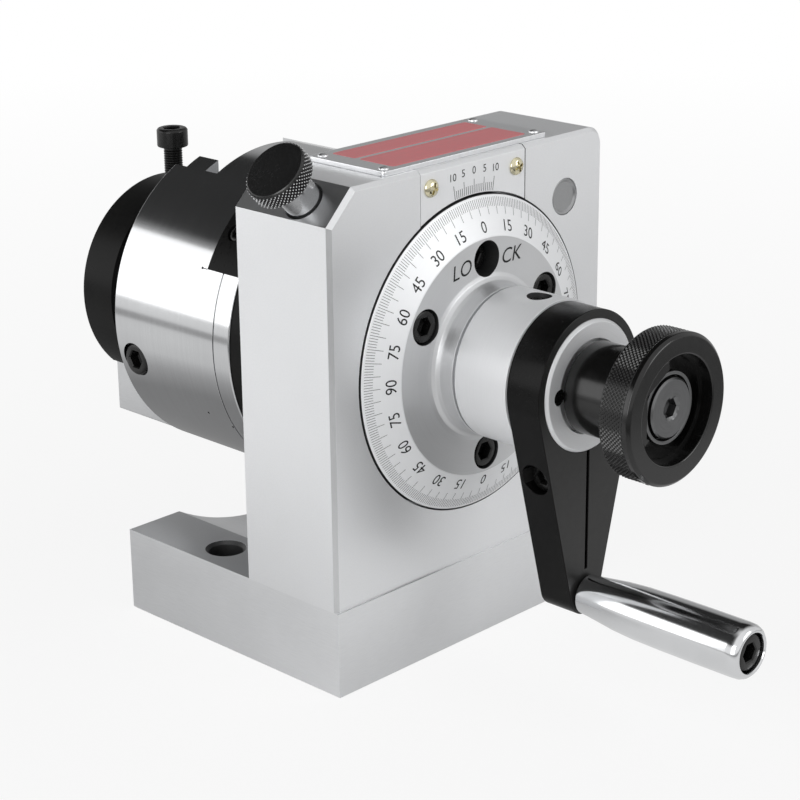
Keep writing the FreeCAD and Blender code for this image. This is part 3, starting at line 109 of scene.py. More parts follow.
def linked(name, data):
    """Object with some data, in the scene."""
    obj = bpy.data.objects.new(name, data)
    bpy.context.scene.collection.objects.link(obj)
    return obj


def new_object(name, bm, solid=True):
    """Object from a bmesh; the normals of a solid point out."""
    if solid:
        bmesh.ops.recalc_face_normals(bm, faces=bm.faces)
    mesh = bpy.data.meshes.new(name)
    bm.to_mesh(mesh)
    bm.free()
    return linked(name, mesh)


def round_about(place, reach, angle, height):
    """Point at a reach, an angle and a height in a frame, from millimetres."""
    return place @ (Vector((reach * math.cos(angle), reach * math.sin(angle), height)) * MM)


def eased(profile, size, steps=3, closed=True):
    """Outline with each corner rounded to about a size."""
    points = [Vector(p) for p in profile]
    count = len(points)
    out = []
    for i, point in enumerate(points):
        if not closed and i in (0, count - 1) or size <= 0:
            out.append(tuple(point))
            continue
        before = points[i - 1] - point
        after = points[(i + 1) % count] - point
        if before.length < 1e-6 or after.length < 1e-6 or before.angle(after) > 2.9:
            out.append(tuple(point))
            continue
        reach = min(size, before.length * 0.45, after.length * 0.45)
        first = point + before.normalized() * reach
        last = point + after.normalized() * reach
        for step in range(steps + 1):
            t = step / steps
            out.append(tuple(first * (1 - t) ** 2 + point * 2 * t * (1 - t) + last * t * t))
    return out


def skin_rings(name, rings, place, segments=96, closed=False):
    """Skin over rings stacked along a frame's Z; a radius may vary with the angle."""
    bm = bmesh.new()
    rows = []
    for height, radius in rings:
        if not callable(radius) and radius < 1e-6:
            rows.append([bm.verts.new(place @ (Vector((0, 0, height)) * MM))])
            continue
        row = []
        for i in range(segments):
            angle = 2 * math.pi * i / segments
            reach = radius(angle) if callable(radius) else radius
            row.append(bm.verts.new(round_about(place, reach, angle, height)))
        rows.append(row)
    pairs = list(zip(rows, rows[1:]))
    if closed:
        pairs.append((rows[-1], rows[0]))
    for low, high in pairs:
        for i in range(segments):
            j = (i + 1) % segments
            if len(low) == 1 and len(high) == 1:
                break
            if len(low) == 1:
                bm.faces.new((low[0], high[j], high[i]))
            elif len(high) == 1:
                bm.faces.new((low[i], low[j], high[0]))
            else:
                bm.faces.new((low[i], low[j], high[j], high[i]))
    return new_object(name, bm)


def turned(name, profile, place=SPINDLE, ease=0.3, segments=160):
    """Solid of revolution from a closed (station, radius) outline."""
    touches = any(radius < 1e-6 for _, radius in profile)
    return skin_rings(name, eased(profile, ease, 3, not touches), place, segments, not touches)


def prism(name, outline, place, length):
    """Outline in a frame's XY plane, drawn out along its Z."""
    bm = bmesh.new()
    low = [bm.verts.new(place @ (Vector((x, y, 0)) * MM)) for x, y in outline]
    high = [bm.verts.new(place @ (Vector((x, y, length)) * MM)) for x, y in outline]
    bm.faces.new(low)
    bm.faces.new(high)
    for i in range(len(outline)):
        j = (i + 1) % len(outline)
        bm.faces.new((low[i], low[j], high[j], high[i]))
    return new_object(name, bm)


def rod(name, radius, point, direction, length, segments=64):
    """Plain round bar."""
    outline = [(0, 0), (0, radius), (length, radius), (length, 0)]
    return skin_rings(name, outline, axis_frame(point, direction), segments)


def circle(radius, centre=(0, 0), start=0.0, end=360.0, steps=96):
    """Points along an arc, in degrees."""
    full = abs(end - start) >= 360
    count = steps if full else steps + 1
    out = []
    for i in range(count):
        angle = math.radians(start + (end - start) * i / steps)
        out.append((centre[0] + radius * math.cos(angle), centre[1] + radius * math.sin(angle)))
    return out


def evaluated_mesh(obj):
    """New mesh of an object with its modifiers."""
    graph = bpy.context.evaluated_depsgraph_get()
    graph.update()
    return bpy.data.meshes.new_from_object(obj.evaluated_get(graph))


def apply_modifiers(obj):
    """Replace an object's mesh by its modified one."""
    mesh = evaluated_mesh(obj)
    obj.modifiers.clear()
    old = obj.data
    obj.data = mesh
    bpy.data.meshes.remove(old)


def boolean(obj, other, operation):
    """One exact boolean with another object, which is then thrown away."""
    modifier = obj.modifiers.new("boolean", "BOOLEAN")
    modifier.operation = operation
    modifier.solver = "EXACT"
    modifier.object = other
    apply_modifiers(obj)
    bpy.data.objects.remove(other)
    if not obj.data.polygons:
        raise RuntimeError(obj.name + " has no faces after a boolean")


def carve(obj, cutter):
    """Take a cutter out of an object."""
    boolean(obj, cutter, "DIFFERENCE")


def bore(obj, radius, point, direction, length, segments=64):
    """Round hole."""
    carve(obj, rod("cutter", radius, point, direction, length, segments))


def mill(obj, outline, place, length):
    """Opening of any outline."""
    carve(obj, prism("cutter", outline, place, length))


def soften(obj, width, segments=2, angle=40):
    """Small rounded bevel on the sharp edges."""
    modifier = obj.modifiers.new("bevel", "BEVEL")
    modifier.width = width * MM
    modifier.segments = segments
    modifier.limit_method = "ANGLE"
    modifier.angle_limit = math.radians(angle)
    apply_modifiers(obj)
    return obj


def joined(name, pieces):
    """One object out of several."""
    bm = bmesh.new()
    for piece in pieces:
        bm.from_mesh(piece.data)
        bpy.data.objects.remove(piece)
    return new_object(name, bm)


def shade(obj, sharp=32):
    """Smooth shading that breaks at sharp edges."""
    mesh = obj.data
    mesh.polygons.foreach_set("use_smooth", [True] * len(mesh.polygons))
    mesh.set_sharp_from_angle(angle=math.radians(sharp))
    mesh.update()


def even_normals(obj):
    """Normals led by the large faces, so flats and cylinders stay clean beside a bevel."""
    modifier = obj.modifiers.new("normals", "WEIGHTED_NORMAL")
    modifier.keep_sharp = True
    modifier.weight = 60
    apply_modifiers(obj)


def fit(obj, body, finishes, nodes=(), sharp=32):
    """Finish a piece: shading, finishes, body and the nodes that it stands for."""
    shade(obj, sharp)
    even_normals(obj)
    obj.data.materials.clear()
    for name in finishes.split():
        obj.data.materials.append(finish_of(name))
    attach(obj, body)
    if nodes:
        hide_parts(*nodes)
    return obj


def dressed(node, body, finishes, width=0.3):
    """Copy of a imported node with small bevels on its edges, standing for that node."""
    bm = bmesh.new()
    bm.from_mesh(NODES[node].data)
    bmesh.ops.remove_doubles(bm, verts=bm.verts, dist=1e-6)
    bmesh.ops.dissolve_limit(bm, angle_limit=math.radians(1.0), verts=bm.verts, edges=bm.edges)
    return fit(soften(new_object(node + "_dressed", bm), width, 2, 30), body, finishes, [node])


def split_wide_faces(obj):
    """Cut the faces of more than four corners into triangles."""
    bm = bmesh.new()
    bm.from_mesh(obj.data)
    bmesh.ops.triangulate(bm, faces=[face for face in bm.faces if len(face.verts) > 4])
    bm.to_mesh(obj.data)
    bm.free()


def paint_faces(obj, index, inside=lambda x, station, z: True):
    """Give a material index to the faces whose middle, in millimetres and a station, is inside."""
    for face in obj.data.polygons:
        middle = face.center / MM
        if inside(middle.x, middle.y - FRONT, middle.z):
            face.material_index = index


def hexagon_reach(corner):
    """Radius of a hexagon by the angle, for a socket's rings."""
    def reach(angle):
        part = (angle % (math.pi / 3)) - math.pi / 6
        return corner * math.cos(math.pi / 6) / math.cos(part)
    return reach


def socket_head(name, point, direction, radius, height, corner, depth, stem=None, pitch=0.0, segments=144):
    """Socket head screw; the point is under the head, and the direction points out of it."""
    hexa = hexagon_reach(corner)
    wide = hexagon_reach(corner * 1.12)
    rings = [(0, 0)]
    if stem:
        reach, length = stem
        rings = [(-length, 0), (-length, reach - 0.4), (-length + 0.4, reach)]
        for turn in range(int((length - 1.0) / pitch) if pitch else 0):
            low = -length + 0.4 + turn * pitch
            rings += [(low + pitch * part, reach - pitch * dip) for part, dip in ((0.15, 0), (0.5, 0.45), (0.85, 0))]
        rings += [(0, reach)]
    rings += [(0, radius - 0.4), (0.12, radius - 0.15), (0.4, radius), (height - 0.9, radius),
              (height - 0.6, radius - 0.05), (height - 0.15, radius - 0.4), (height, radius - 0.75),
              (height, wide), (height - 0.35, hexa), (height - depth, hexa), (height - depth - 0.8, 0)]
    return skin_rings(name, rings, axis_frame(point, direction), segments)


def knurled_band(place, start, length, radius, depth, count, rows):
    """Diamond knurl: a grid whose points stand high and low by turns, split along the grooves."""
    bm = bmesh.new()
    around, along = 2 * count, 2 * rows
    grid = []
    for b in range(along + 1):
        row = []
        for a in range(around):
            edge = b in (0, along)
            low = (a + b) % 2 == 0
            reach = radius - (depth if low or edge else 0.0)
            angle = 2 * math.pi * a / around
            height = start + length * b / along
            row.append(bm.verts.new(round_about(place, reach, angle, height)))
        grid.append(row)
    for b in range(along):
        for a in range(around):
            c = (a + 1) % around
            p, q, r, s = grid[b][a], grid[b][c], grid[b + 1][c], grid[b + 1][a]
            if (a + b) % 2 == 0:
                bm.faces.new((p, q, r))
                bm.faces.new((p, r, s))
            else:
                bm.faces.new((p, q, s))
                bm.faces.new((q, r, s))
    return new_object("band", bm)


# Materials

class Wiring:
    """Adds and links the nodes of one tree; a source is a node with the name of its output."""

    def __init__(self, tree):
        self.tree = tree
        tree.nodes.clear()

    def add(self, kind, **values):
        node = self.tree.nodes.new(kind)
        for key, value in values.items():
            setattr(node, key, value)
        return node

    def put(self, node, socket, value):
        """Fill one socket with a source or a plain value."""
        if isinstance(value, tuple) and isinstance(value[-1], str):
            self.tree.links.new(value[0].outputs[value[1]], node.inputs[socket])
        elif value is not None:
            node.inputs[socket].default_value = value

    def feed(self, node, *values):
        """Fill a node's first sockets."""
        for socket, value in enumerate(values):
            self.put(node, socket, value)
        return node

    def maths(self, operation, first, second=None):
        return self.feed(self.add("ShaderNodeMath", operation=operation), first, second), "Value"

    def vectors(self, operation, first, second=None):
        node = self.feed(self.add("ShaderNodeVectorMath", operation=operation), first, second)
        return node, "Value" if operation in ("LENGTH", "DISTANCE") else "Vector"

    def fade(self, source, low, high, first=0.0, last=1.0):
        """Value that goes from first to last while the source goes from low to high."""
        return self.feed(self.add("ShaderNodeMapRange"), source, low, high, first, last), "Result"

    def parts(self, source):
        """The three parts of a vector."""
        node = self.feed(self.add("ShaderNodeSeparateXYZ"), source)
        return (node, "X"), (node, "Y"), (node, "Z")

    def ramp(self, source, stops):
        """Grey levels or colours along a source from zero to one."""
        node = self.feed(self.add("ShaderNodeValToRGB"), source)
        elements = node.color_ramp.elements
        elements.remove(elements[-1])
        for index, (position, colour) in enumerate(stops):
            element = elements.new(position) if index else elements[0]
            element.position = position
            element.color = colour if isinstance(colour, tuple) else grey(colour)
        return node, "Color"

    def mixed(self, share, first, second):
        """One of two colours by a share."""
        node = self.add("ShaderNodeMix", data_type="RGBA", blend_type="MIX")
        for socket, value in ((0, share), (6, first), (7, second)):
            self.put(node, socket, value)
        return node, "Result"

    def either(self, path):
        """One for the rays that polished metal and glass send out."""
        return self.maths("MAXIMUM", (path, "Is Glossy Ray"), (path, "Is Transmission Ray"))

    def blended(self, share, first, second):
        """Mix of two shaders."""
        return self.feed(self.add("ShaderNodeMixShader"), share, first, second), "Shader"


class Shader(Wiring):
    """Wiring of one material."""

    def __init__(self, name):
        self.material = bpy.data.materials.new(name)
        self.material.use_nodes = True
        super().__init__(self.material.node_tree)
        self.output = self.add("ShaderNodeOutputMaterial")
        self.shader = self.add("ShaderNodeBsdfPrincipled")
        self.put(self.output, "Surface", (self.shader, "BSDF"))

    def surface(self, **values):
        """Fill sockets of the surface shader."""
        for name, value in values.items():
            self.put(self.shader, name.replace("_", " "), value)

    def place(self):
        """Object coordinates."""
        return self.add("ShaderNodeTexCoord"), "Object"

    def scaled(self, stretch):
        """Object coordinates, stretched along the grain."""
        mapping = self.add("ShaderNodeMapping")
        self.put(mapping, "Vector", self.place())
        self.put(mapping, "Scale", stretch)
        return mapping, "Vector"

    def turned(self, stretch):
        """Coordinates that run in rings about the spindle's line."""
        x, y, z = self.parts(self.place())
        rise = self.maths("SUBTRACT", z, AXIS_Z * MM)
        reach = self.maths("SQRT", self.maths("ADD", self.maths("MULTIPLY", x, x), self.maths("MULTIPLY", rise, rise)))
        angle = self.maths("ARCTAN2", x, rise)
        drawn = [self.maths("MULTIPLY", value, factor) for value, factor in zip((reach, y, angle), stretch)]
        return self.feed(self.add("ShaderNodeCombineXYZ"), *drawn), "Vector"

    def away(self, point):
        """Object coordinates from a point."""
        return self.vectors("SUBTRACT", self.place(), point)

    def ripples(self, point, stretch):
        """Coordinates that run in rings about a point."""
        reach = self.maths("MULTIPLY", self.vectors("LENGTH", self.away(point)), stretch)
        return self.feed(self.add("ShaderNodeCombineXYZ"), reach), "Vector"

    def around(self, point, line):
        """Direction about a line through a point, as long as the distance from it."""
        return self.vectors("CROSS_PRODUCT", self.away(point), line)

    def reach_share(self, point, line, low, high):
        """Zero to one between two distances from a line through a point."""
        return self.fade(self.vectors("LENGTH", self.around(point, line)), low * MM, high * MM)

    def noise(self, vector, detail=6.0, roughness=0.7):
        node = self.add("ShaderNodeTexNoise")
        for socket, value in (("Vector", vector), ("Scale", 1.0), ("Detail", detail), ("Roughness", roughness)):
            self.put(node, socket, value)
        return node, "Fac"

    def grained(self, fine, broad):
        """Fine grain with a share of broad mottle."""
        return self.maths("ADD", self.maths("MULTIPLY", fine, 0.65), self.maths("MULTIPLY", broad, 0.35))

    def bump(self, source, strength, distance):
        node = self.add("ShaderNodeBump")
        for socket, value in (("Height", source), ("Strength", strength), ("Distance", distance)):
            self.put(node, socket, value)
        self.surface(Normal=(node, "Normal"))


def grey(value, tint=(1.0, 1.0, 1.0)):
    """Opaque colour of one brightness, slightly tinted."""
    return (value * tint[0], value * tint[1], value * tint[2], 1.0)


COOL = (0.985, 0.995, 1.01)
WARM = (1.0, 0.99, 0.97)
FINE_RELIEF = 0.00002


def metal(name, dark, light, rough, spread, vector, bump, metallic=1.0, tint=COOL, gloss=0.5,
          bare=None, edges=None, tips=None, spun=None):
    """Metal whose colour, roughness and relief follow a stretched grain and a broad mottle."""
    kit = Shader(name)
    fine = kit.noise(vector(kit))
    blend = kit.grained(fine, kit.noise(kit.scaled((40.0, 40.0, 40.0)), 3.0, 0.5))
    colour = kit.ramp(blend, [(0.3, grey(dark, tint)), (0.7, grey(light, tint))])
    # bare lightens the colour where edges point out, by pointiness, and at the knurl tips, by distance: painted
    # highlight on both knurls, edge wear on the zinc screws
    if bare:
        if tips:
            edge = kit.reach_share(*tips)
        else:
            edge = kit.ramp((kit.add("ShaderNodeNewGeometry"), "Pointiness"), edges)
        colour = kit.mixed(edge, colour, grey(bare, tint))
    kit.surface(Base_Color=colour, Roughness=kit.fade(blend, 0.3, 0.7, rough - spread, rough + spread),
                Metallic=metallic, Specular_IOR_Level=gloss)
    kit.bump(fine, bump, FINE_RELIEF)
    if spun:
        kit.surface(Tangent=kit.around(*spun), Anisotropic=0.8)
    return kit.material


def frame_steel():
    """Satin upright above a darker ground base, split at the base's top edge."""
    kit = Shader("frame_steel")
    above = kit.maths("GREATER_THAN", kit.parts(kit.place())[2], BASE_TOP * MM)
    satin_grain = kit.noise(kit.scaled((1500, 1500, 2600)))
    ground_grain = kit.noise(kit.scaled((240, 240, 7000)))
    mottle = kit.noise(kit.scaled((34, 34, 34)), 3.0, 0.5)
    satin = kit.grained(satin_grain, mottle)
    ground = kit.grained(ground_grain, mottle)
    upper = kit.ramp(satin, [(0.3, grey(0.83, COOL)), (0.7, grey(0.89, COOL))])
    lower = kit.ramp(ground, [(0.3, grey(0.76, COOL)), (0.7, grey(0.88, COOL))])
    ground_rough = kit.maths("ADD", kit.maths("MULTIPLY", ground, 0.16), 0.24)
    satin_rough = kit.maths("ADD", kit.maths("MULTIPLY", satin, 0.10), 0.30)

    def chosen(high, low):
        return kit.maths("ADD", kit.maths("MULTIPLY", kit.maths("SUBTRACT", high, low), above), low)

    kit.surface(Base_Color=kit.mixed(above, lower, upper), Roughness=chosen(satin_rough, ground_rough), Metallic=0.62)
    kit.bump(chosen(satin_grain, ground_grain), 0.12, FINE_RELIEF)
    return kit.material


MATERIALS = {}


def finish_of(name):
    """A finish by its name, made on first use."""
    if name not in MATERIALS:
        values, extras = FINISHES[name]
        MATERIALS[name] = metal(name, *values, **extras) if values else frame_steel()
    return MATERIALS[name]


def look(*values, **extras):
    """Row of the finishes' table."""
    return values, extras


def flat_grain(*stretch):
    return lambda kit: kit.scaled(stretch)


def rings_grain(*stretch):
    return lambda kit: kit.turned(stretch)


def ripples_grain(point, stretch):
    return lambda kit: kit.ripples(point, stretch)


PULL_FACE = spot(0, PLUNGER_STATION, AXIS_Z) + PLUNGER_OUT * PULL_REACH * MM

# Darkest and lightest value, roughness and its spread, grain, relief, metalness
FINISHES = {
    "frame_steel": look(),
    "dial_satin": look(0.86, 0.92, 0.50, 0.04, rings_grain(9000, 2500, 1.2), 0.08, 0.45),
    "dial_inner": look(0.60, 0.68, 0.42, 0.05, rings_grain(9000, 2500, 1.2), 0.1, 0.6),
    "sleeve_satin": look(0.78, 0.85, 0.40, 0.05, rings_grain(2500, 7000, 1.0), 0.08, 0.25),
    "vernier_satin": look(0.84, 0.90, 0.46, 0.04, flat_grain(6000, 300, 300), 0.1, 0.35),
    "plug_steel": look(0.34, 0.40, 0.32, 0.04, flat_grain(3000, 3000, 3000), 0.04, 0.8),
    # painted shade: near-black finish for the walls of holes and gaps where shade falls
    "bore_dark": look(0.05, 0.10, 0.45, 0.08, flat_grain(1500, 1500, 5000), 0.15, 0.7),
    "ground_slope": look(0.54, 0.62, 0.33, 0.04, flat_grain(300, 6000, 300), 0.05),
    # ground finish, darker than the base's sides: partly painted shade on the up-facing top
    "ground_top": look(0.58, 0.68, 0.38, 0.05, flat_grain(300, 6000, 300), 0.1),
    "polished_drum": look(0.56, 0.65, 0.11, 0.03, rings_grain(2500, 5200, 1.5), 0.05),
    "block_steel": look(0.60, 0.70, 0.34, 0.05, flat_grain(300, 300, 5000), 0.12, 0.9),
    "black_gloss": look(0.003, 0.007, 0.16, 0.04, flat_grain(500, 500, 500), 0.05, 0.0, WARM),
    "black_paint": look(0.003, 0.006, 0.24, 0.05, flat_grain(500, 500, 500), 0.06, 0.0, WARM, 0.12),
    # lighter copy of the crank's black: painted light on the faces turned to the front
    "black_front": look(0.016, 0.026, 0.34, 0.05, flat_grain(500, 500, 500), 0.06, 0.0, WARM, 0.3),
    "black_oxide": look(0.004, 0.009, 0.32, 0.07, flat_grain(700, 700, 700), 0.1, 0.0, WARM, 0.08),
    "black_screw": look(0.004, 0.010, 0.26, 0.07, flat_grain(1500, 1500, 1500), 0.12, 0.0, WARM, 0.35),
    # knurl finishes: their lighter edges and tips are painted highlight
    "black_knurl": look(0.004, 0.010, 0.26, 0.06, flat_grain(1500, 1500, 1500), 0.08, 0.0, WARM, bare=0.4,
                        edges=((0.53, 0.0), (0.62, 1.0))),
    "bright_knurl": look(0.006, 0.014, 0.24, 0.06, flat_grain(1500, 1500, 1500), 0.08, 0.0, COOL, 0.6, bare=0.95,
                         tips=(PULL_FACE, PLUNGER_OUT, 9.1, 9.3)),
    # pull knob's face: anisotropic turned finish, with a grey colour that is painted sheen
    "black_turned": look(0.08, 0.13, 0.36, 0.04, ripples_grain(PULL_FACE, 7000), 0.05, 0.4,
                         spun=(PULL_FACE, PLUNGER_OUT)),
    "grey_cap": look(0.13, 0.22, 0.34, 0.06, rings_grain(9000, 6000, 1.0), 0.2),
    "bright_pin": look(0.30, 0.44, 0.17, 0.05, flat_grain(2500, 900, 2500), 0.08),
    "mirror_chrome": look(0.70, 0.78, 0.13, 0.02, flat_grain(60, 60, 60), 0.02),
    "bronze": look(0.55, 0.66, 0.36, 0.06, rings_grain(6000, 3000, 1.0), 0.1, 1.0, (1.0, 0.66, 0.36)),
    "yellow_zinc": look(0.58, 0.76, 0.17, 0.05, flat_grain(1200, 1200, 1200), 0.1, 1.0, (1.0, 0.93, 0.66), bare=0.8,
                        edges=((0.52, 0.0), (0.58, 0.3))),
    "plate_silver": look(0.80, 0.90, 0.34, 0.05, flat_grain(900, 200, 200), 0.06),
    "plate_red": look(0.84, 0.98, 0.34, 0.06, flat_grain(900, 900, 900), 0.06, 0.0, (1.0, 0.25, 0.27)),
    "dial_black": look(0.006, 0.016, 0.55, 0.05, flat_grain(2500, 2500, 2500), 0.05, 0.0, COOL, 0.3),
}

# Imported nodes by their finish
CAD_FINISHES = {
    "frame_steel": "frame_casting", "vernier_satin": "vernier_plate", "yellow_zinc": "vernier_screws",
    "plate_silver": "name_plate name_plate_rivets", "plug_steel": "face_plug", "bronze": "journal_bush thrust_washer",
    "grey_cap": "plunger_guide plunger_spring centre_stud", "bright_pin": "plunger_pin",
    "black_oxide": "plunger_knob spindle_key back_plate spindle_nut stop_segment knob_ring clamp_yoke",
    "sleeve_satin": "spindle_shaft hub_sleeve", "dial_inner": "index_plate", "dial_satin": "dial_flange",
    "black_screw": "dial_screws lock_screw sleeve_screw sleeve_key_pin crank_clamp_screw handle_stud drum_screws"
                   " stop_screw slide_lock_screw clamp_screw",
    "black_gloss": "crank_arm front_knob", "polished_drum": "drum_ring drum", "mirror_chrome": "handle_grip",
    "block_steel": "v_block",
}


# Pieces

def facing(station):
    """Frame on the spindle's line whose X is right, Y is up and Z comes out of the dial."""
    basis = Matrix(((1, 0, 0), (0, 0, -1), (0, 1, 0))).to_4x4()
    return Matrix.Translation(spot(0, station, AXIS_Z)) @ basis


def clock(radius, degrees):
    """X and Y on a face, by the angle from the top."""
    angle = math.radians(degrees)
    return radius * math.sin(angle), radius * math.cos(angle)


def outward(degrees):
    """Direction away from the spindle's line, by the angle from the top."""
    across, up = clock(1.0, degrees)
    return Vector((across, 0, up))


def dial_station(radius):
    """Station of the dial's surface at a radius."""
    if radius >= DIAL_CONE:
        return DIAL_RIM - (DIAL_EDGE - radius) / (DIAL_EDGE - DIAL_CONE) * (DIAL_RIM - DIAL_FACE)
    return DIAL_FACE


def lettering(text, height, place, lean=0.0):
    """Mesh of a short text; place turns its own X and Y in millimetres into a point."""
    curve = bpy.data.curves.new("letters", "FONT")
    curve.body = text
    curve.shear = lean
    curve.size = height / 0.73
    curve.align_x = "CENTER"
    curve.align_y = "CENTER"
    curve.resolution_u = 4
    holder = linked("letters", curve)
    bpy.context.view_layer.update()
    mesh = evaluated_mesh(holder)
    bpy.data.objects.remove(holder)
    bpy.data.curves.remove(curve)
    for vertex in mesh.vertices:
        vertex.co = place(vertex.co.x, vertex.co.y)
    return mesh


def printed(name, meshes, bars):
    """One object out of letter meshes and thin bars of four corners."""
    bm = bmesh.new()
    for mesh in meshes:
        bm.from_mesh(mesh)
        bpy.data.meshes.remove(mesh)
    for corners in bars:
        bm.faces.new([bm.verts.new(corner) for corner in corners])
    return new_object(name, bm, False)


def on_cone(radius, degrees, lift=0.03):
    """Mapping of a figure's X and Y to the dial at a radius and an angle."""
    def place(x, y):
        reach = math.hypot(radius + y, x)
        angle = degrees + math.degrees(math.atan2(x, radius + y))
        return on_dial(reach, angle, dial_station(reach) - lift)
    return place


def on_face(radius, degrees, turn, lift=0.03):
    """Mapping of a caption's X and Y to the dial at a radius and an angle, turned by some degrees."""
    middle = clock(radius, degrees)
    cosine, sine = math.cos(math.radians(turn)), math.sin(math.radians(turn))

    def place(x, y):
        across, up = middle[0] + x * cosine - y * sine, middle[1] + x * sine + y * cosine
        reach = math.hypot(across, up)
        return on_dial(reach, math.degrees(math.atan2(across, up)), dial_station(reach) - lift)
    return place


def build_dial():
    """Dial with its cone, hub fillet and screw holes, then its lines and figures."""
    profile = [
        (5.6, 13.52), (5.6, 46.5), (DIAL_RIM, DIAL_EDGE), (DIAL_FACE, DIAL_CONE), (DIAL_FACE, 24.8),
        (-4.6, 23.6), (-5.4, 22.6), (-6.7, 22.2), (-11.3, 22.2), (-11.3, 13.52),
    ]
    dial = turned("dial", profile, ease=0.25, segments=240)
    for degrees in SCREW_ANGLES:
        bore(dial, 5.25, on_dial(SCREW_CIRCLE, degrees, -10), NORTH, 12.1, 72)
        bore(dial, 3.05, on_dial(SCREW_CIRCLE, degrees, -10), NORTH, 30, 48)
    bore(dial, 5.3, on_dial(SCREW_CIRCLE, 0, -10), NORTH, 30, 72)
    soften(dial, 0.18, 2, 50)
    fit(dial, "spindle", "dial_satin dial_inner bore_dark", ["dial_flange"])
    paint_faces(dial, 1, lambda x, station, z: math.hypot(x, z - AXIS_Z) <= DIAL_CONE - 0.2)
    # painted shade: the rim wall in the gap round the dial and the screw counterbores take the dark finish
    paint_faces(dial, 2, lambda x, station, z: station > DIAL_RIM + 0.12
                and math.hypot(x, z - AXIS_Z) > DIAL_EDGE - 0.12)
    for degrees in (0, *SCREW_ANGLES):
        hole = on_dial(SCREW_CIRCLE, degrees, 0) / MM
        paint_faces(dial, 2, lambda x, station, z: station > DIAL_FACE + 0.2
                    and math.hypot(x - hole.x, z - hole.z) < 5.32)
    build_dial_marks()


def build_dial_marks():
    """Lines for each degree, figures each 15 degrees and the lock screw's caption."""
    half = settings().tick_width / MM / 2
    bars = []
    for degree in range(-180, 180):
        inner = 41.2 if degree % 5 == 0 else 43.3
        place = on_cone(0.0, degree)
        bars.append([place(-half, inner), place(half, inner), place(half, 45.8), place(-half, 45.8)])
    meshes = []
    height = settings().digit_height / MM
    for degree in range(-180, 180, 15):
        off = abs(degree)
        value = off if off <= 90 else 180 - off
        meshes.append(lettering(str(value), height, on_cone(38.0, degree)))
    meshes.append(lettering("LO", 4.6, on_face(29.6, -21, 8), 0.22))
    meshes.append(lettering("CK", 4.6, on_face(30.0, 20, 0), 0.22))
    marks = printed("dial_marks", meshes, bars)
    fit(marks, "spindle", "dial_black")


def build_vernier():
    """Vernier plate with its scale, and its two cross-slotted screws."""
    bottom = [clock(47.2, degrees) for degrees in range(-27, 28, 3)]
    half = 21.78
    foot = math.sqrt(47.2 ** 2 - half ** 2)
    outline = [(-half, 57.7), (-half, foot)]
    outline += [p for p in bottom if abs(p[0]) < half - 0.05]
    outline += [(half, foot), (half, 57.7)]
    plate = prism("vernier_plate_dressed", outline, facing(3.6), 3.0)
    mill(plate, [(56.5, 0.55), (58.5, 0.55), (58.5, 2.6)], bevel_frame(), 60)
    soften(plate, 0.14, 2, 40)
    fit(plate, "frame", "vernier_satin", ["vernier_plate"])

    def place_on(x, y):
        return spot(x, 0.57, AXIS_Z + y)

    bars = []
    for index in range(-10, 11):
        degree = index * 0.95
        top = 51.6 if index % 5 == 0 else 49.9
        corners = []
        for reach, side in ((47.5, -0.09), (47.5, 0.09), (top, 0.09), (top, -0.09)):
            x, y = clock(reach, degree)
            corners.append(place_on(x + side, y))
        bars.append(corners)
    meshes = []
    for degree, text in ((-9.5, "10"), (-4.75, "5"), (0, "0"), (4.75, "5"), (9.5, "10")):
        x, y = clock(54.0, degree)
        meshes.append(lettering(text, 2.3, lambda u, v, x=x, y=y: place_on(x + u, y + v)))
    marks = printed("vernier_marks", meshes, bars)
    fit(marks, "frame", "dial_black")
    heads = []
    for sign in (-1, 1):
        place = axis_frame(spot(sign * 17.8, 0.6, 142.1), SOUTH)
        rings = [(-7, 0), (-7, 1.3), (-6.5, 1.5), (0, 1.5), (0, 2.55), (0.35, 2.62), (0.9, 2.3), (1.35, 1.55),
                 (1.55, 0)]
        head = skin_rings("vernier_screw", rings, place, 64)
        for turn in (20 * sign, 90 + 20 * sign):
            slot = place @ Matrix.Rotation(math.radians(turn), 4, "Z") @ Matrix.Translation((0, 0, 0.45 * MM))
            mill(head, [(-1.7, -0.36), (1.7, -0.36), (1.7, 0.36), (-1.7, 0.36)], slot, 2)
        heads.append(soften(head, 0.06, 2, 50))
    screws = joined("vernier_screw_heads", heads)
    fit(screws, "frame", "yellow_zinc", ["vernier_screws"])


def bevel_frame():
    """Frame for a cutter drawn in the (height, station) plane and drawn out along X."""
    basis = Matrix(((0, 0, 1), (0, 1, 0), (1, 0, 0))).to_4x4()
    return Matrix.Translation(Vector((-30, FRONT, AXIS_Z)) * MM) @ basis


def rounded_plate(name, half_x, low, high, z, thick, corner):
    """Thin plate with round corners, lying flat between two stations."""
    outline = []
    for cx, cy, start in ((half_x - corner, high - corner, 0), (corner - half_x, high - corner, 90),
                          (corner - half_x, low + corner, 180), (half_x - corner, low + corner, 270)):
        outline += circle(corner, (cx, cy + FRONT), start, start + 90, 6)
    return prism(name, outline, Matrix.Translation(Vector((0, 0, z)) * MM), thick)


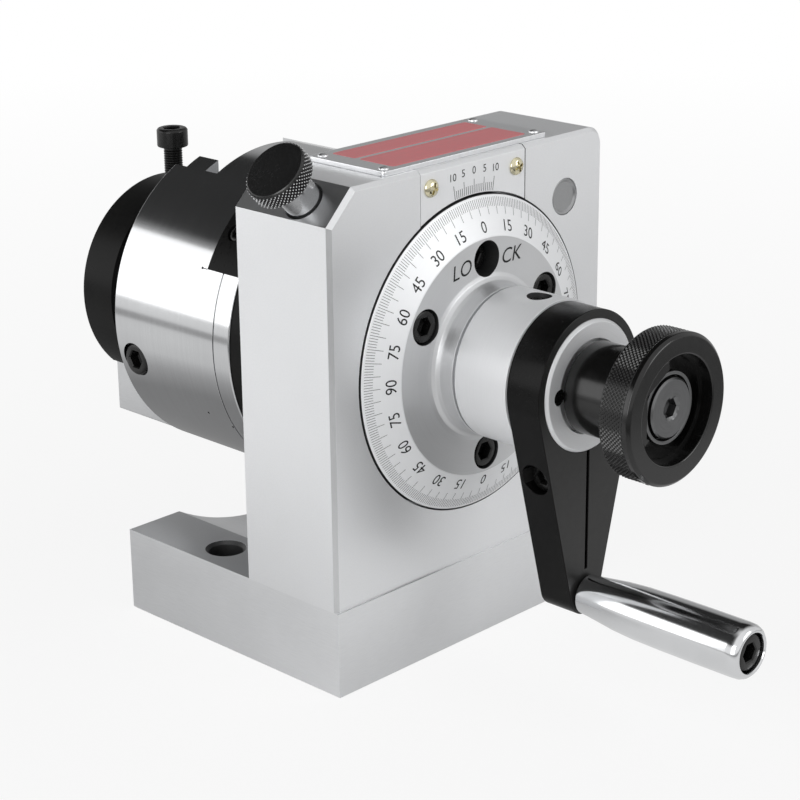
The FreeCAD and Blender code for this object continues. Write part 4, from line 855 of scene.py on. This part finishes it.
def build_name_plate():
    """Bare plate with coloured bands and four rivets."""
    plate = rounded_plate("top_plate", 34.0, 2.8, 32.2, 147.7, 1.5, 1.2)
    soften(plate, 0.2, 2)
    fit(plate, "frame", "plate_silver", ["name_plate"])
    bands = []
    for low, high in ((5.4, 18.6), (20.4, 29.4)):
        bands.append(soften(rounded_plate("band", 27.6, low, high, 149.15, 0.12, 0.8), 0.03, 1))
    fit(joined("top_plate_bands", bands), "frame", "plate_red")
    rivets = []
    rings = [(-4, 0), (-4, 0.9), (0, 0.9), (0, 1.5), (0.25, 1.45), (0.5, 1.1), (0.68, 0.6), (0.72, 0)]
    for x, station in ((-31.2, 5.6), (31.2, 5.6), (31.2, 29.4), (-31.2, 29.4)):
        rivets.append(skin_rings("rivet", rings, axis_frame(spot(x, station, 149.2), UP), 32))
    fit(joined("top_plate_rivets", rivets), "frame", "plate_silver", ["name_plate_rivets"])


def build_sleeve():
    """Hub sleeve with its seam, neck and grub screw hole."""
    profile = [
        (-11.3, 13.52), (-11.3, 20.5), (-12.2, 20.5), (-12.2, 22.2), (-31.0, 22.2), (-31.0, 19.0),
        (-42.5, 19.0), (-43.3, 18.2), (-43.3, 13.52),
    ]
    sleeve = turned("hub_sleeve_dressed", profile, ease=0.2, segments=200)
    bore(sleeve, 3.6, spot(0, -24, AXIS_Z + 10), UP, 20, 64)
    bore(sleeve, 2.4, spot(-13.5, -50, AXIS_Z), NORTH, 20, 48)
    soften(sleeve, 0.12, 2, 50)
    fit(sleeve, "spindle", "sleeve_satin bore_dark", ["hub_sleeve"])
    # painted shade: the grub screw hole's wall takes the dark finish
    paint_faces(sleeve, 1, lambda x, station, z: 13.6 < z - AXIS_Z < 21.95 and math.hypot(x, station + 24) < 3.62)


def build_crank():
    """Split crank arm with its soft edges, and its clamp screw."""
    lean = math.degrees(math.asin((21.6 - 6.3) / CRANK))
    outline = circle(21.6, (0, 0), -lean, 180 + lean, 64)
    outline += circle(6.3, (0, -CRANK), 180 + lean, 360 - lean, 28)
    arm = prism("crank_arm_dressed", outline, facing(-31), 11.5)
    bore(arm, 19.02, spot(0, -50, AXIS_Z), NORTH, 30, 160)
    bore(arm, 4.02, spot(0, -50, AXIS_Z - CRANK), NORTH, 30, 48)
    mill(arm, [(-0.5, -55), (0.5, -55), (0.5, -17), (-0.5, -17)], facing(-25), 30)
    clamp = spot(-7.6, -36.75, AXIS_Z - 25)
    bore(arm, 4.55, clamp, WEST, 20, 64)
    soften(arm, 0.9, 3, 50)
    fit(arm, "spindle", "black_paint black_front", ["crank_arm"])
    # faces turned to the front take the lighter black, which is painted light
    for face in arm.data.polygons:
        face.material_index = 1 if face.normal.y < -0.9 else 0
    screw = socket_head("crank_clamp_head", clamp, WEST, 4.25, 5.0, 2.3, 2.6, (2.5, 14.0))
    fit(screw, "spindle", "black_screw", ["crank_clamp_screw"])


def build_handle():
    """Bright handle, and the stud that it spins on."""
    place = axis_frame(spot(0, 0, AXIS_Z - CRANK), NORTH)
    profile = [(-43.2, 4.05), (-43.2, 5.3), (-43.6, 5.8), (-46.0, 6.0), (-50.0, 6.5), (-56.0, 7.25), (-63.0, 7.72),
               (-72.0, 7.9), (-84.0, 8.0), (-96.5, 8.0), (-98.4, 7.85), (-99.5, 7.4), (-100.1, 6.8), (-100.3, 6.3),
               (-100.3, 5.9), (-100.0, 5.75), (-94.2, 5.75), (-94.2, 4.05)]
    grip = skin_rings("handle_dressed", profile, place, 160, True)
    fit(grip, "handle", "mirror_chrome", ["handle_grip"], 25)
    head = spot(0, -94.5, AXIS_Z - CRANK)
    stud = socket_head("handle_stud_dressed", head, SOUTH, 5.4, 5.0, *M6_SOCKET, (4.0, 63.5))
    fit(stud, "spindle", "black_screw", ["handle_stud"])


def build_knob():
    """Front knob with its knurl, stepped pocket and six-sided recess, and the stud's cap."""
    profile = [
        (-43.6, 6.15), (-43.6, 12.4), (-44.4, 13.2), (-62.2, 13.2), (-62.2, 20.3), (-62.9, 21.1),
        (-70.4, 21.1), (-70.7, 21.4), (-72.2, 21.4), (-73.0, 20.5), (-73.0, 15.7), (-70.6, 13.6), (-70.6, 9.92),
        (-66.5, 9.92), (-66.5, 6.15),
    ]
    core = turned("front_knob_dressed", profile, ease=0.25, segments=240)
    for radius, floor in ((15.5, -68.7), (14.6, -65.8)):
        mill(core, sector(radius, 9.9, -6, 240, 80), facing(floor), 20)
    mill(core, [clock(11.9, 60 * i) for i in range(6)], facing(-67.6), 20)
    soften(core, 0.22, 2, 50)
    split_wide_faces(core)
    band = knurled_band(SPINDLE, -70.45, 7.6, 21.45, 0.42, settings().knob_knurls, 6)
    paint_faces(band, 1)
    knob = joined("front_knob_dressed", [core, band])
    # the knurl's finish paints highlights on its edges
    fit(knob, "front_knob", "black_gloss black_knurl", ["front_knob"], 28)
    profile = [(-69.95, 9.2), (-67.6, 9.2), (-67.6, 10.25), (-69.95, 10.25)]
    liner = turned("knob_liner", profile, ease=0.2, segments=128)
    fit(liner, "front_knob", "grey_cap", ["knob_ring"])
    across, down = clock(20.9, -151)
    seat = spot(across, -71.2, AXIS_Z + down)
    grub = socket_head("knob_grub", seat, (across, 0, down), 1.0, 0.6, 0.5, 0.4, segments=48)
    fit(grub, "front_knob", "black_screw")
    hexa = hexagon_reach(2.9)
    rings = [(-52.8, 0), (-52.8, 5.5), (-52.4, 5.9), (-4.0, 5.9), (-4.0, 8.3), (-3.8, 8.5), (-0.5, 8.5), (0, 8.0),
             (0, 3.5), (-0.6, hexa), (-3.0, hexa), (-3.8, 0)]
    cap = skin_rings("stud_cap", rings, axis_frame(spot(0, -70.8, AXIS_Z), SOUTH), 144)
    fit(cap, "spindle", "grey_cap", ["centre_stud"])


def build_plunger():
    """Index plunger: bright pin and a knurled pull knob."""
    base = axis_frame(spot(0, PLUNGER_STATION, AXIS_Z), PLUNGER_OUT)
    rings = [(39.1, 0), (39.1, 0.25), (44.8, 4.0), (52.0, 4.0), (52.0, 5.6), (54.0, 5.6), (54.0, 4.0), (72.0, 4.0),
             (72.0, 5.1), (72.3, 5.4), (83.4, 5.4), (84.0, 5.2), (84.0, 0)]
    pin = skin_rings("plunger_pin_dressed", rings, base, 96)
    fit(pin, "index_plunger", "bright_pin", ["plunger_pin"])
    rings = [(84.0, 0), (84.0, 8.2), (84.5, 8.8), (88.5, 8.8), (89.1, 8.75), (89.35, 8.5), (PULL_REACH, 8.2),
             (PULL_REACH, 0)]
    core = skin_rings("pull", rings, base, 160)
    paint_faces(core, 1)
    band = knurled_band(base, 84.2, 4.9, 9.4, 0.62, settings().pull_knurls, 4)
    knob = joined("pull_knob", [core, band])
    # the knurl's finish paints highlights on its tips, and the face's finish paints a sheen
    fit(knob, "index_plunger", "bright_knurl black_turned", ["plunger_knob"], 28)


def drum_slot_cutter():
    """Cutter of the guideway, drawn in plan and standing through the drum."""
    right = [(22.7, 84.4), (22.7, 89.6), (17.4, 89.6), (17.4, 98.2), (22.7, 98.2), (22.7, 106)]
    outline = [(x, FRONT + y) for x, y in right] + [(-x, FRONT + y) for x, y in reversed(right)]
    return prism("cutter", outline, Matrix.Translation(Vector((0, 0, 30)) * MM), 120)


def sector(outer, inner, start, sweep, steps):
    """Outline between two radii, from an angle on through a sweep."""
    angles = [start + sweep * i / steps for i in range(steps + 1)]
    return [clock(outer, angle) for angle in angles] + [clock(inner, angle) for angle in reversed(angles)]


def stop_cutter(outer, inner):
    """Body of the stop segment, and the cutter of its seat."""
    return prism("cutter", sector(outer, inner, -63.4, 29.8, 40), facing(65.5), 13.9)


def slide_lock_line(x):
    """Point on the line of the guideway's lock screw."""
    return spot(x, 96.1, AXIS_Z - 11.4)


def build_drum():
    """Polished drum and ring with the stop segment let in."""
    profile = [(58.4, 28.0), (58.4, 48.7), (58.62, 48.8), (58.62, 49.4), (103.3, 49.4), (104.0, 48.7), (104.0, 10.0),
               (72.4, 10.0), (72.4, 28.0)]
    drum = turned("drum_dressed", profile, ease=0.12, segments=288)
    carve(drum, drum_slot_cutter())
    direction = outward(-48.5)
    for x, z in ((-15, -29), (15, -29), (15, 29), (-15, 29)):
        bore(drum, 5.25, spot(x, 77.8, AXIS_Z + z), NORTH, 20, 64)
    bore(drum, 5.35, slide_lock_line(-41.9), WEST, 20, 72)
    bore(drum, 3.05, slide_lock_line(-17), WEST, 30, 32)
    carve(drum, stop_cutter(52, 44.6))
    soften(drum, 0.25, 2, 50)
    fit(drum, "spindle", "polished_drum", ["drum"])
    profile = [(51.6, 20.02), (58.38, 20.02), (58.38, 48.7), (58.2, 48.8), (58.2, 49.4), (51.9, 49.4), (51.6, 49.1)]
    ring = turned("drum_ring_dressed", profile, ease=0.12, segments=288)
    carve(ring, stop_cutter(52, 44.6))
    fit(ring, "spindle", "polished_drum", ["drum_ring"])
    stop = stop_cutter(49.38, 44.62)
    seat = spot(0, 60.5, AXIS_Z) + direction * 46 * MM
    bore(stop, 2.95, seat, direction, 20, 64)
    soften(stop, 0.2, 2, 40)
    fit(stop, "spindle", "black_oxide", ["stop_segment"])
    screw = socket_head("stop_screw_head", seat, direction, 2.9, 3.0, 1.5, 1.4, (1.5, 8.0))
    fit(screw, "spindle", "black_screw", ["stop_screw"])
    build_drum_marks()


def build_drum_marks():
    """Witness dots and the short line beside the stop segment."""
    pieces = []
    for degrees, station in ((-63.4, 67.65), (-117.9, 68.2), (-121.7, 59.2)):
        pieces.append(rod("dot", 0.42, on_dial(49.38, degrees, station), outward(degrees), 0.03, 24))
    line = []
    for station in (65.5, 67.5):
        for degrees in (-63.55, -63.25):
            line.append(on_dial(49.42, degrees, station))
    pieces.append(printed("line", [], [(line[0], line[1], line[3], line[2])]))
    dots = joined("drum_dots", pieces)
    fit(dots, "spindle", "dial_black")


def build_yoke():
    """Clamp yoke with its hooks, and the clamp screw through its top."""
    outline = circle(33.9, (0, -2.6), 0, 360, 160)
    yoke = prism("yoke_dressed", outline, facing(138.7), 14.0)
    mill(yoke, circle(26.0, (0, -0.5), 0, 360, 128), facing(140), 20)
    mill(yoke, [(-22.72, -40), (22.72, -40), (22.72, -0.5), (-22.72, -0.5)], facing(140), 20)
    mill(yoke, [(-40, -40), (40, -40), (40, -27), (-40, -27)], facing(140), 20)
    for sign in (-1, 1):
        inner, outer = sign * 18.72, sign * 23.3
        hook = [(inner, -26.1), (outer, -26.1), (outer, -20.9), (inner, -20.9)]
        boolean(yoke, prism("hook", hook, facing(138.7), 14.0), "UNION")
    bore(yoke, 3.05, spot(0, 131.7, 110), UP, 20, 48)
    soften(yoke, 0.5, 3, 40)
    fit(yoke, "yoke", "black_oxide", ["clamp_yoke"])
    top = spot(0, 131.7, 131.5)
    screw = socket_head("clamp_screw_dressed", top, UP, 5.0, 6.0, *M6_SOCKET, (3.0, 30.0), 0.8, 112)
    fit(screw, "clamp_screw", "black_screw", ["clamp_screw"])


def build_frame():
    """Frame with its broken edges, painted shade in its bores and beside the vernier plate, and the plug in its face.
    """
    finishes = "frame_steel bore_dark ground_top ground_slope"
    casting = dressed("frame_casting", "frame", finishes, 0.35)
    for face in casting.data.polygons:
        # index 2: ground finish whose darker colour is partly painted shade, on the base's top and the front-left
        # corner faces; index 3: ground finish on the top-left slope
        if face.normal.z > 0.97 and 25 < face.center.z / MM < BASE_TOP + 0.3:
            face.material_index = 2
        if face.normal.z > 0.6 and face.normal.x < -0.6 and face.center.z / MM > AXIS_Z:
            face.material_index = 3
        if face.normal.x < -0.6 and face.normal.y < -0.6:
            face.material_index = 2
    # painted shade: the wall beside the vernier plate's right edge and the holes through the base take the dark finish
    paint_faces(casting, 1, lambda x, station, z: abs(x - 22) < 0.3 and z > AXIS_Z + 38 and 0.2 < station < 3.7)
    paint_faces(casting, 1, lambda x, station, z: 0.5 < z < 26.2 and math.hypot(abs(x) - 46.9, station - 59) < 7)
    low, high = (Vector(corner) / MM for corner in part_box("face_plug"))
    rings = [(-5, 0), (-5, 5.5), (-0.3, 5.55), (0, 5.2), (-0.05, 4.85), (-0.5, 4.4), (-0.55, 0)]
    place = axis_frame(Vector(((low.x + high.x) / 2, low.y, (low.z + high.z) / 2)) * MM, SOUTH)
    plug = skin_rings("face_plug_dressed", rings, place, 96)
    fit(plug, "frame", "plug_steel", ["face_plug"])


def build_carriage():
    """V-block and the plate behind the upright, with their broken edges."""
    dressed("v_block", "v_block", "block_steel")
    dressed("back_plate", "spindle", "black_oxide")


def build_screws():
    """Socket screws of the dial, the lock and the guideway."""
    heads = []
    for degrees in SCREW_ANGLES:
        seat = on_dial(SCREW_CIRCLE, degrees, 2.1)
        heads.append(socket_head("head", seat, SOUTH, 4.95, 6.0, *M6_SOCKET, (3.0, 16.0)))
    fit(joined("dial_screw_heads", heads), "spindle", "black_screw", ["dial_screws"])
    seat = on_dial(SCREW_CIRCLE, 0, 5.0)
    lock = socket_head("lock_screw_dressed", seat, SOUTH, 4.95, 4.4, *M6_SOCKET, (3.0, 14.5))
    fit(lock, "lock_screw", "black_screw", ["lock_screw"])
    side = socket_head("slide_lock_dressed", slide_lock_line(-42.2), WEST, 5.0, 6.0, *M6_SOCKET, (3.0, 16.6))
    tip = rod("tip", 1.4, slide_lock_line(-17.62), WEST, 9.4, 32)
    side = joined("slide_lock_dressed", [side, tip])
    fit(side, "slide_lock_screw", "black_screw", ["slide_lock_screw"])


class PunchFormerSettings(bpy.types.PropertyGroup):
    """Sizes and levels that a user would change."""

    knob_knurls: IntProperty(name="Knob knurls", description="Diamonds around the front knob", default=104, min=12)
    pull_knurls: IntProperty(name="Pull knurls", description="Diamonds around the plunger's knob", default=46, min=12)
    tick_width: FloatProperty(name="Tick width", description="Width of a dial line", default=0.00013, unit="LENGTH")
    digit_height: FloatProperty(
        name="Digit height", description="Height of the dial's figures", default=0.0033, unit="LENGTH")
    side_power: FloatProperty(name="Side light", description="Power of the lamp at the left", default=5.0, unit="POWER")
    back_power: FloatProperty(
        name="Back light", description="Power of the lamp behind the drum", default=2.5, unit="POWER")
    front_power: FloatProperty(
        name="Front light", description="Power of the lamp before the dial", default=3.2, unit="POWER")
    sky_level: FloatProperty(name="Sky", description="Strength of the sky on matt surfaces", default=0.8, min=0.0)
    floor_colour: FloatVectorProperty(
        name="Floor", description="Colour of the floor", default=(0.93, 0.93, 0.93), subtype="COLOR", size=3)


def settings():
    return bpy.context.scene.punch_former


class FormerOperator(bpy.types.Operator):
    """Base of the operators that build a piece."""

    bl_options = {"REGISTER", "UNDO"}

    def execute(self, context):
        self.build()
        return {"FINISHED"}


class PUNCHFORMER_OT_finishes(FormerOperator):
    """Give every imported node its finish"""

    bl_idname = "punch_former.finishes"
    bl_label = "Node Finishes"

    def build(self):
        finishes = {name: finish for finish, names in CAD_FINISHES.items() for name in names.split()}
        for name, node in NODES.items():
            node.data.materials.clear()
            node.data.materials.append(finish_of(finishes[name]))


class PUNCHFORMER_OT_frame(FormerOperator):
    """Build the frame's broken edges and the plug in its face"""

    bl_idname = "punch_former.frame"
    bl_label = "Frame"
    build = staticmethod(build_frame)


class PUNCHFORMER_OT_carriage(FormerOperator):
    """Build the V-block and the back plate with their broken edges"""

    bl_idname = "punch_former.carriage"
    bl_label = "Carriage"
    build = staticmethod(build_carriage)


class PUNCHFORMER_OT_dial(FormerOperator):
    """Build the dial with its lines and figures"""

    bl_idname = "punch_former.dial"
    bl_label = "Dial"
    build = staticmethod(build_dial)


class PUNCHFORMER_OT_vernier(FormerOperator):
    """Build the vernier plate, its scale and its screws"""

    bl_idname = "punch_former.vernier"
    bl_label = "Vernier"
    build = staticmethod(build_vernier)


class PUNCHFORMER_OT_name_plate(FormerOperator):
    """Build the bare plate on top with its bands and rivets"""

    bl_idname = "punch_former.name_plate"
    bl_label = "Top Plate"
    build = staticmethod(build_name_plate)


class PUNCHFORMER_OT_sleeve(FormerOperator):
    """Build the hub sleeve"""

    bl_idname = "punch_former.sleeve"
    bl_label = "Hub Sleeve"
    build = staticmethod(build_sleeve)


class PUNCHFORMER_OT_crank(FormerOperator):
    """Build the split crank arm and its clamp screw"""

    bl_idname = "punch_former.crank"
    bl_label = "Crank"
    build = staticmethod(build_crank)


class PUNCHFORMER_OT_handle(FormerOperator):
    """Build the handle and its stud"""

    bl_idname = "punch_former.handle"
    bl_label = "Handle"
    build = staticmethod(build_handle)


class PUNCHFORMER_OT_knob(FormerOperator):
    """Build the front knob, its liner and the stud's cap"""

    bl_idname = "punch_former.knob"
    bl_label = "Front Knob"
    build = staticmethod(build_knob)


class PUNCHFORMER_OT_plunger(FormerOperator):
    """Build the index plunger and its pull knob"""

    bl_idname = "punch_former.plunger"
    bl_label = "Index Plunger"
    build = staticmethod(build_plunger)


class PUNCHFORMER_OT_drum(FormerOperator):
    """Build the drum, its ring, the stop segment and the marks"""

    bl_idname = "punch_former.drum"
    bl_label = "Drum"
    build = staticmethod(build_drum)


class PUNCHFORMER_OT_yoke(FormerOperator):
    """Build the clamp yoke and its screw"""

    bl_idname = "punch_former.yoke"
    bl_label = "Clamp Yoke"
    build = staticmethod(build_yoke)


class PUNCHFORMER_OT_screws(FormerOperator):
    """Build the socket screws of the dial, the lock and the guideway"""

    bl_idname = "punch_former.screws"
    bl_label = "Socket Screws"
    build = staticmethod(build_screws)


class PUNCHFORMER_OT_stage(FormerOperator):
    """Set the floor, the sky, the lamps and the camera"""

    bl_idname = "punch_former.stage"
    bl_label = "Stage"

    def build(self):
        make_floor()
        make_sky()
        make_lamp("side_lamp", (-1.2, -0.35, 0.42), 0.7, settings().side_power)
        make_lamp("back_lamp", (-0.95, 0.9, 0.34), 0.85, settings().back_power)
        make_lamp("front_lamp", (0.5, -1.1, 0.5), 0.6, settings().front_power)
        make_camera()


FLOOR_HALF = 4
LAMP_AIM = Vector((0, 0, 0.08))
CAMERA_PLACE = Vector((-0.44382, -0.44732, 0.28560))
CAMERA_ANGLES = (-45.777, 19.32, -0.610)
FOCAL_PIXELS = 2175.45
PHOTO_PIXELS = 800
SENSOR = 36.0


def make_floor():
    """Pale floor that shows the object's shadow, with painted shade near the object and a painted dark ring in what
    polished metal sees.
    """
    bm = bmesh.new()
    corners = [(x * FLOOR_HALF, y * FLOOR_HALF, 0) for x, y in ((-1, -1), (1, -1), (1, 1), (-1, 1))]
    bm.faces.new([bm.verts.new(corner) for corner in corners])
    floor = new_object("floor", bm)
    kit = Shader("floor_paper")
    kit.surface(Base_Color=(*settings().floor_colour, 1.0), Roughness=0.7, Specular_IOR_Level=0.1)
    kit.bump(kit.noise(kit.scaled((90, 90, 90)), 4.0, 0.6), 0.02, 0.0005)
    place = kit.place()
    east, north, _ = kit.parts(place)
    path = kit.add("ShaderNodeLightPath")
    camera = (path, "Is Camera Ray")
    reach = kit.vectors("DISTANCE", place, (0, 0, 0))
    shown = kit.maths("MULTIPLY", camera, kit.fade(reach, 0.12, 0.9, 0.86, 1.0))
    mirrored = kit.maths("MULTIPLY", kit.either(path), 0.9)
    # painted shade and reflection: what metal sees of the floor is dark next to the object, dimmer to the east and the
    # south-west, with a dark ring standing in for the table's edge
    levels = ((0.08, 0.28), (0.12, 0.46), (0.17, 0.80), (0.25, 0.88), (0.37, 0.88), (0.40, 0.42), (0.50, 0.42),
              (0.55, 1.0))
    seen = kit.ramp(kit.vectors("DISTANCE", place, (0, 0.08, 0)), levels)
    painted_floor_shade = kit.maths("MULTIPLY", seen, kit.fade(east, -0.1, 0.35, 1.0, 0.75))
    painted_floor_shade = kit.maths("MULTIPLY", painted_floor_shade, kit.fade(kit.maths("ADD", east, north), -0.5, -0.25, 0.45, 1.0))
    glow = kit.add("ShaderNodeEmission")
    kit.put(glow, "Strength", kit.maths("MAXIMUM", camera, painted_floor_shade))
    share = kit.maths("MAXIMUM", shown, mirrored)
    kit.put(kit.output, "Surface", kit.blended(share, (kit.shader, "BSDF"), (glow, "Emission")))
    floor.data.materials.append(kit.material)


def make_sky():
    """Pale to the camera, a studio of light and dark to polished metal, and plain light to the rest."""
    world = bpy.data.worlds.new("studio_sky")
    bpy.context.scene.world = world
    world.use_nodes = True
    sky = Wiring(world.node_tree)
    east, north, up = sky.parts((sky.add("ShaderNodeTexCoord"), "Generated"))

    def background(colour, strength):
        return sky.feed(sky.add("ShaderNodeBackground"), colour, strength), "Background"

    matt = sky.ramp(up, ((0.0, 1.0), (0.25, 0.8), (0.6, 0.4), (1.0, 0.3)))
    studio = sky.ramp(up, ((0.0, 1.0), (0.36, 0.95), (0.46, 0.6), (0.53, 0.05), (0.86, 0.03), (0.95, 0.3), (1.0, 0.8)))
    overhead = sky.fade(north, -0.1, 0.25, 0.95, 0.0)
    halves = []
    for level, south, far in ((0.4, 0.0, 1.0), (0.8, 1.0, 0.0)):
        side = sky.fade(east, 0.1, 0.7, 1.0, level)
        halves.append(sky.maths("MULTIPLY", side, sky.fade(north, -0.2, 0.3, south, far)))
    plain_light = background(matt, settings().sky_level)
    mirrored = background(sky.maths("MAXIMUM", studio, overhead), sky.maths("ADD", *halves))
    path = sky.add("ShaderNodeLightPath")
    unseen = sky.blended(sky.either(path), plain_light, mirrored)
    shown = sky.blended((path, "Is Camera Ray"), unseen, background(None, 1.0))
    sky.put(sky.add("ShaderNodeOutputWorld"), "Surface", shown)


def make_lamp(name, place, width, power):
    """Soft square lamp that faces the fixture."""
    data = bpy.data.lights.new(name, "AREA")
    data.energy = power
    data.size = width
    lamp = linked(name, data)
    lamp.location = place
    lamp.rotation_euler = (Vector(place) - LAMP_AIM).to_track_quat("Z", "Y").to_euler()


def make_camera():
    """Camera at the photograph's place, solved from the object's edges and circles."""
    azimuth, elevation, roll = (math.radians(v) for v in CAMERA_ANGLES)
    level = math.cos(elevation)
    back = Vector((math.sin(azimuth) * level, -math.cos(azimuth) * level, math.sin(elevation)))
    right = Vector((math.cos(azimuth), math.sin(azimuth), 0))
    up = back.cross(right)
    rolled_right = right * math.cos(roll) + up * math.sin(roll)
    rolled_up = up * math.cos(roll) - right * math.sin(roll)
    data = bpy.data.cameras.new("photo_camera")
    data.sensor_width = SENSOR
    data.lens = FOCAL_PIXELS / PHOTO_PIXELS * SENSOR
    data.clip_start = 0.01
    camera = linked("photo_camera", data)
    basis = Matrix((rolled_right, rolled_up, back)).transposed().to_4x4()
    camera.matrix_world = Matrix.Translation(CAMERA_PLACE) @ basis
    bpy.context.scene.camera = camera


class PUNCHFORMER_PT_panel(bpy.types.Panel):
    """Lists the pieces and the settings"""

    bl_label = "Punch Former"
    bl_idname = "PUNCHFORMER_PT_panel"
    bl_space_type = "VIEW_3D"
    bl_region_type = "UI"
    bl_category = "Punch Former"

    def draw(self, context):
        column = self.layout.column()
        for name in PunchFormerSettings.__annotations__:
            column.prop(context.scene.punch_former, name)
        for operator in PIECES:
            column.operator(operator.bl_idname)


PIECES = [
    PUNCHFORMER_OT_finishes,
    PUNCHFORMER_OT_frame,
    PUNCHFORMER_OT_carriage,
    PUNCHFORMER_OT_dial,
    PUNCHFORMER_OT_vernier,
    PUNCHFORMER_OT_name_plate,
    PUNCHFORMER_OT_sleeve,
    PUNCHFORMER_OT_crank,
    PUNCHFORMER_OT_handle,
    PUNCHFORMER_OT_knob,
    PUNCHFORMER_OT_plunger,
    PUNCHFORMER_OT_drum,
    PUNCHFORMER_OT_yoke,
    PUNCHFORMER_OT_screws,
    PUNCHFORMER_OT_stage,
]
CLASSES = [PunchFormerSettings, *PIECES, PUNCHFORMER_PT_panel]


def register():
    for each in CLASSES:
        bpy.utils.register_class(each)
    bpy.types.Scene.punch_former = PointerProperty(type=PunchFormerSettings)


def unregister():
    del bpy.types.Scene.punch_former
    for each in reversed(CLASSES):
        bpy.utils.unregister_class(each)


def main():
    """Build everything."""
    register()
    bpy.context.scene.view_settings.view_transform = "Standard"
    for operator in PIECES:
        family, name = operator.bl_idname.split(".")
        getattr(getattr(bpy.ops, family), name)()


if __name__ == "__main__":
    main()
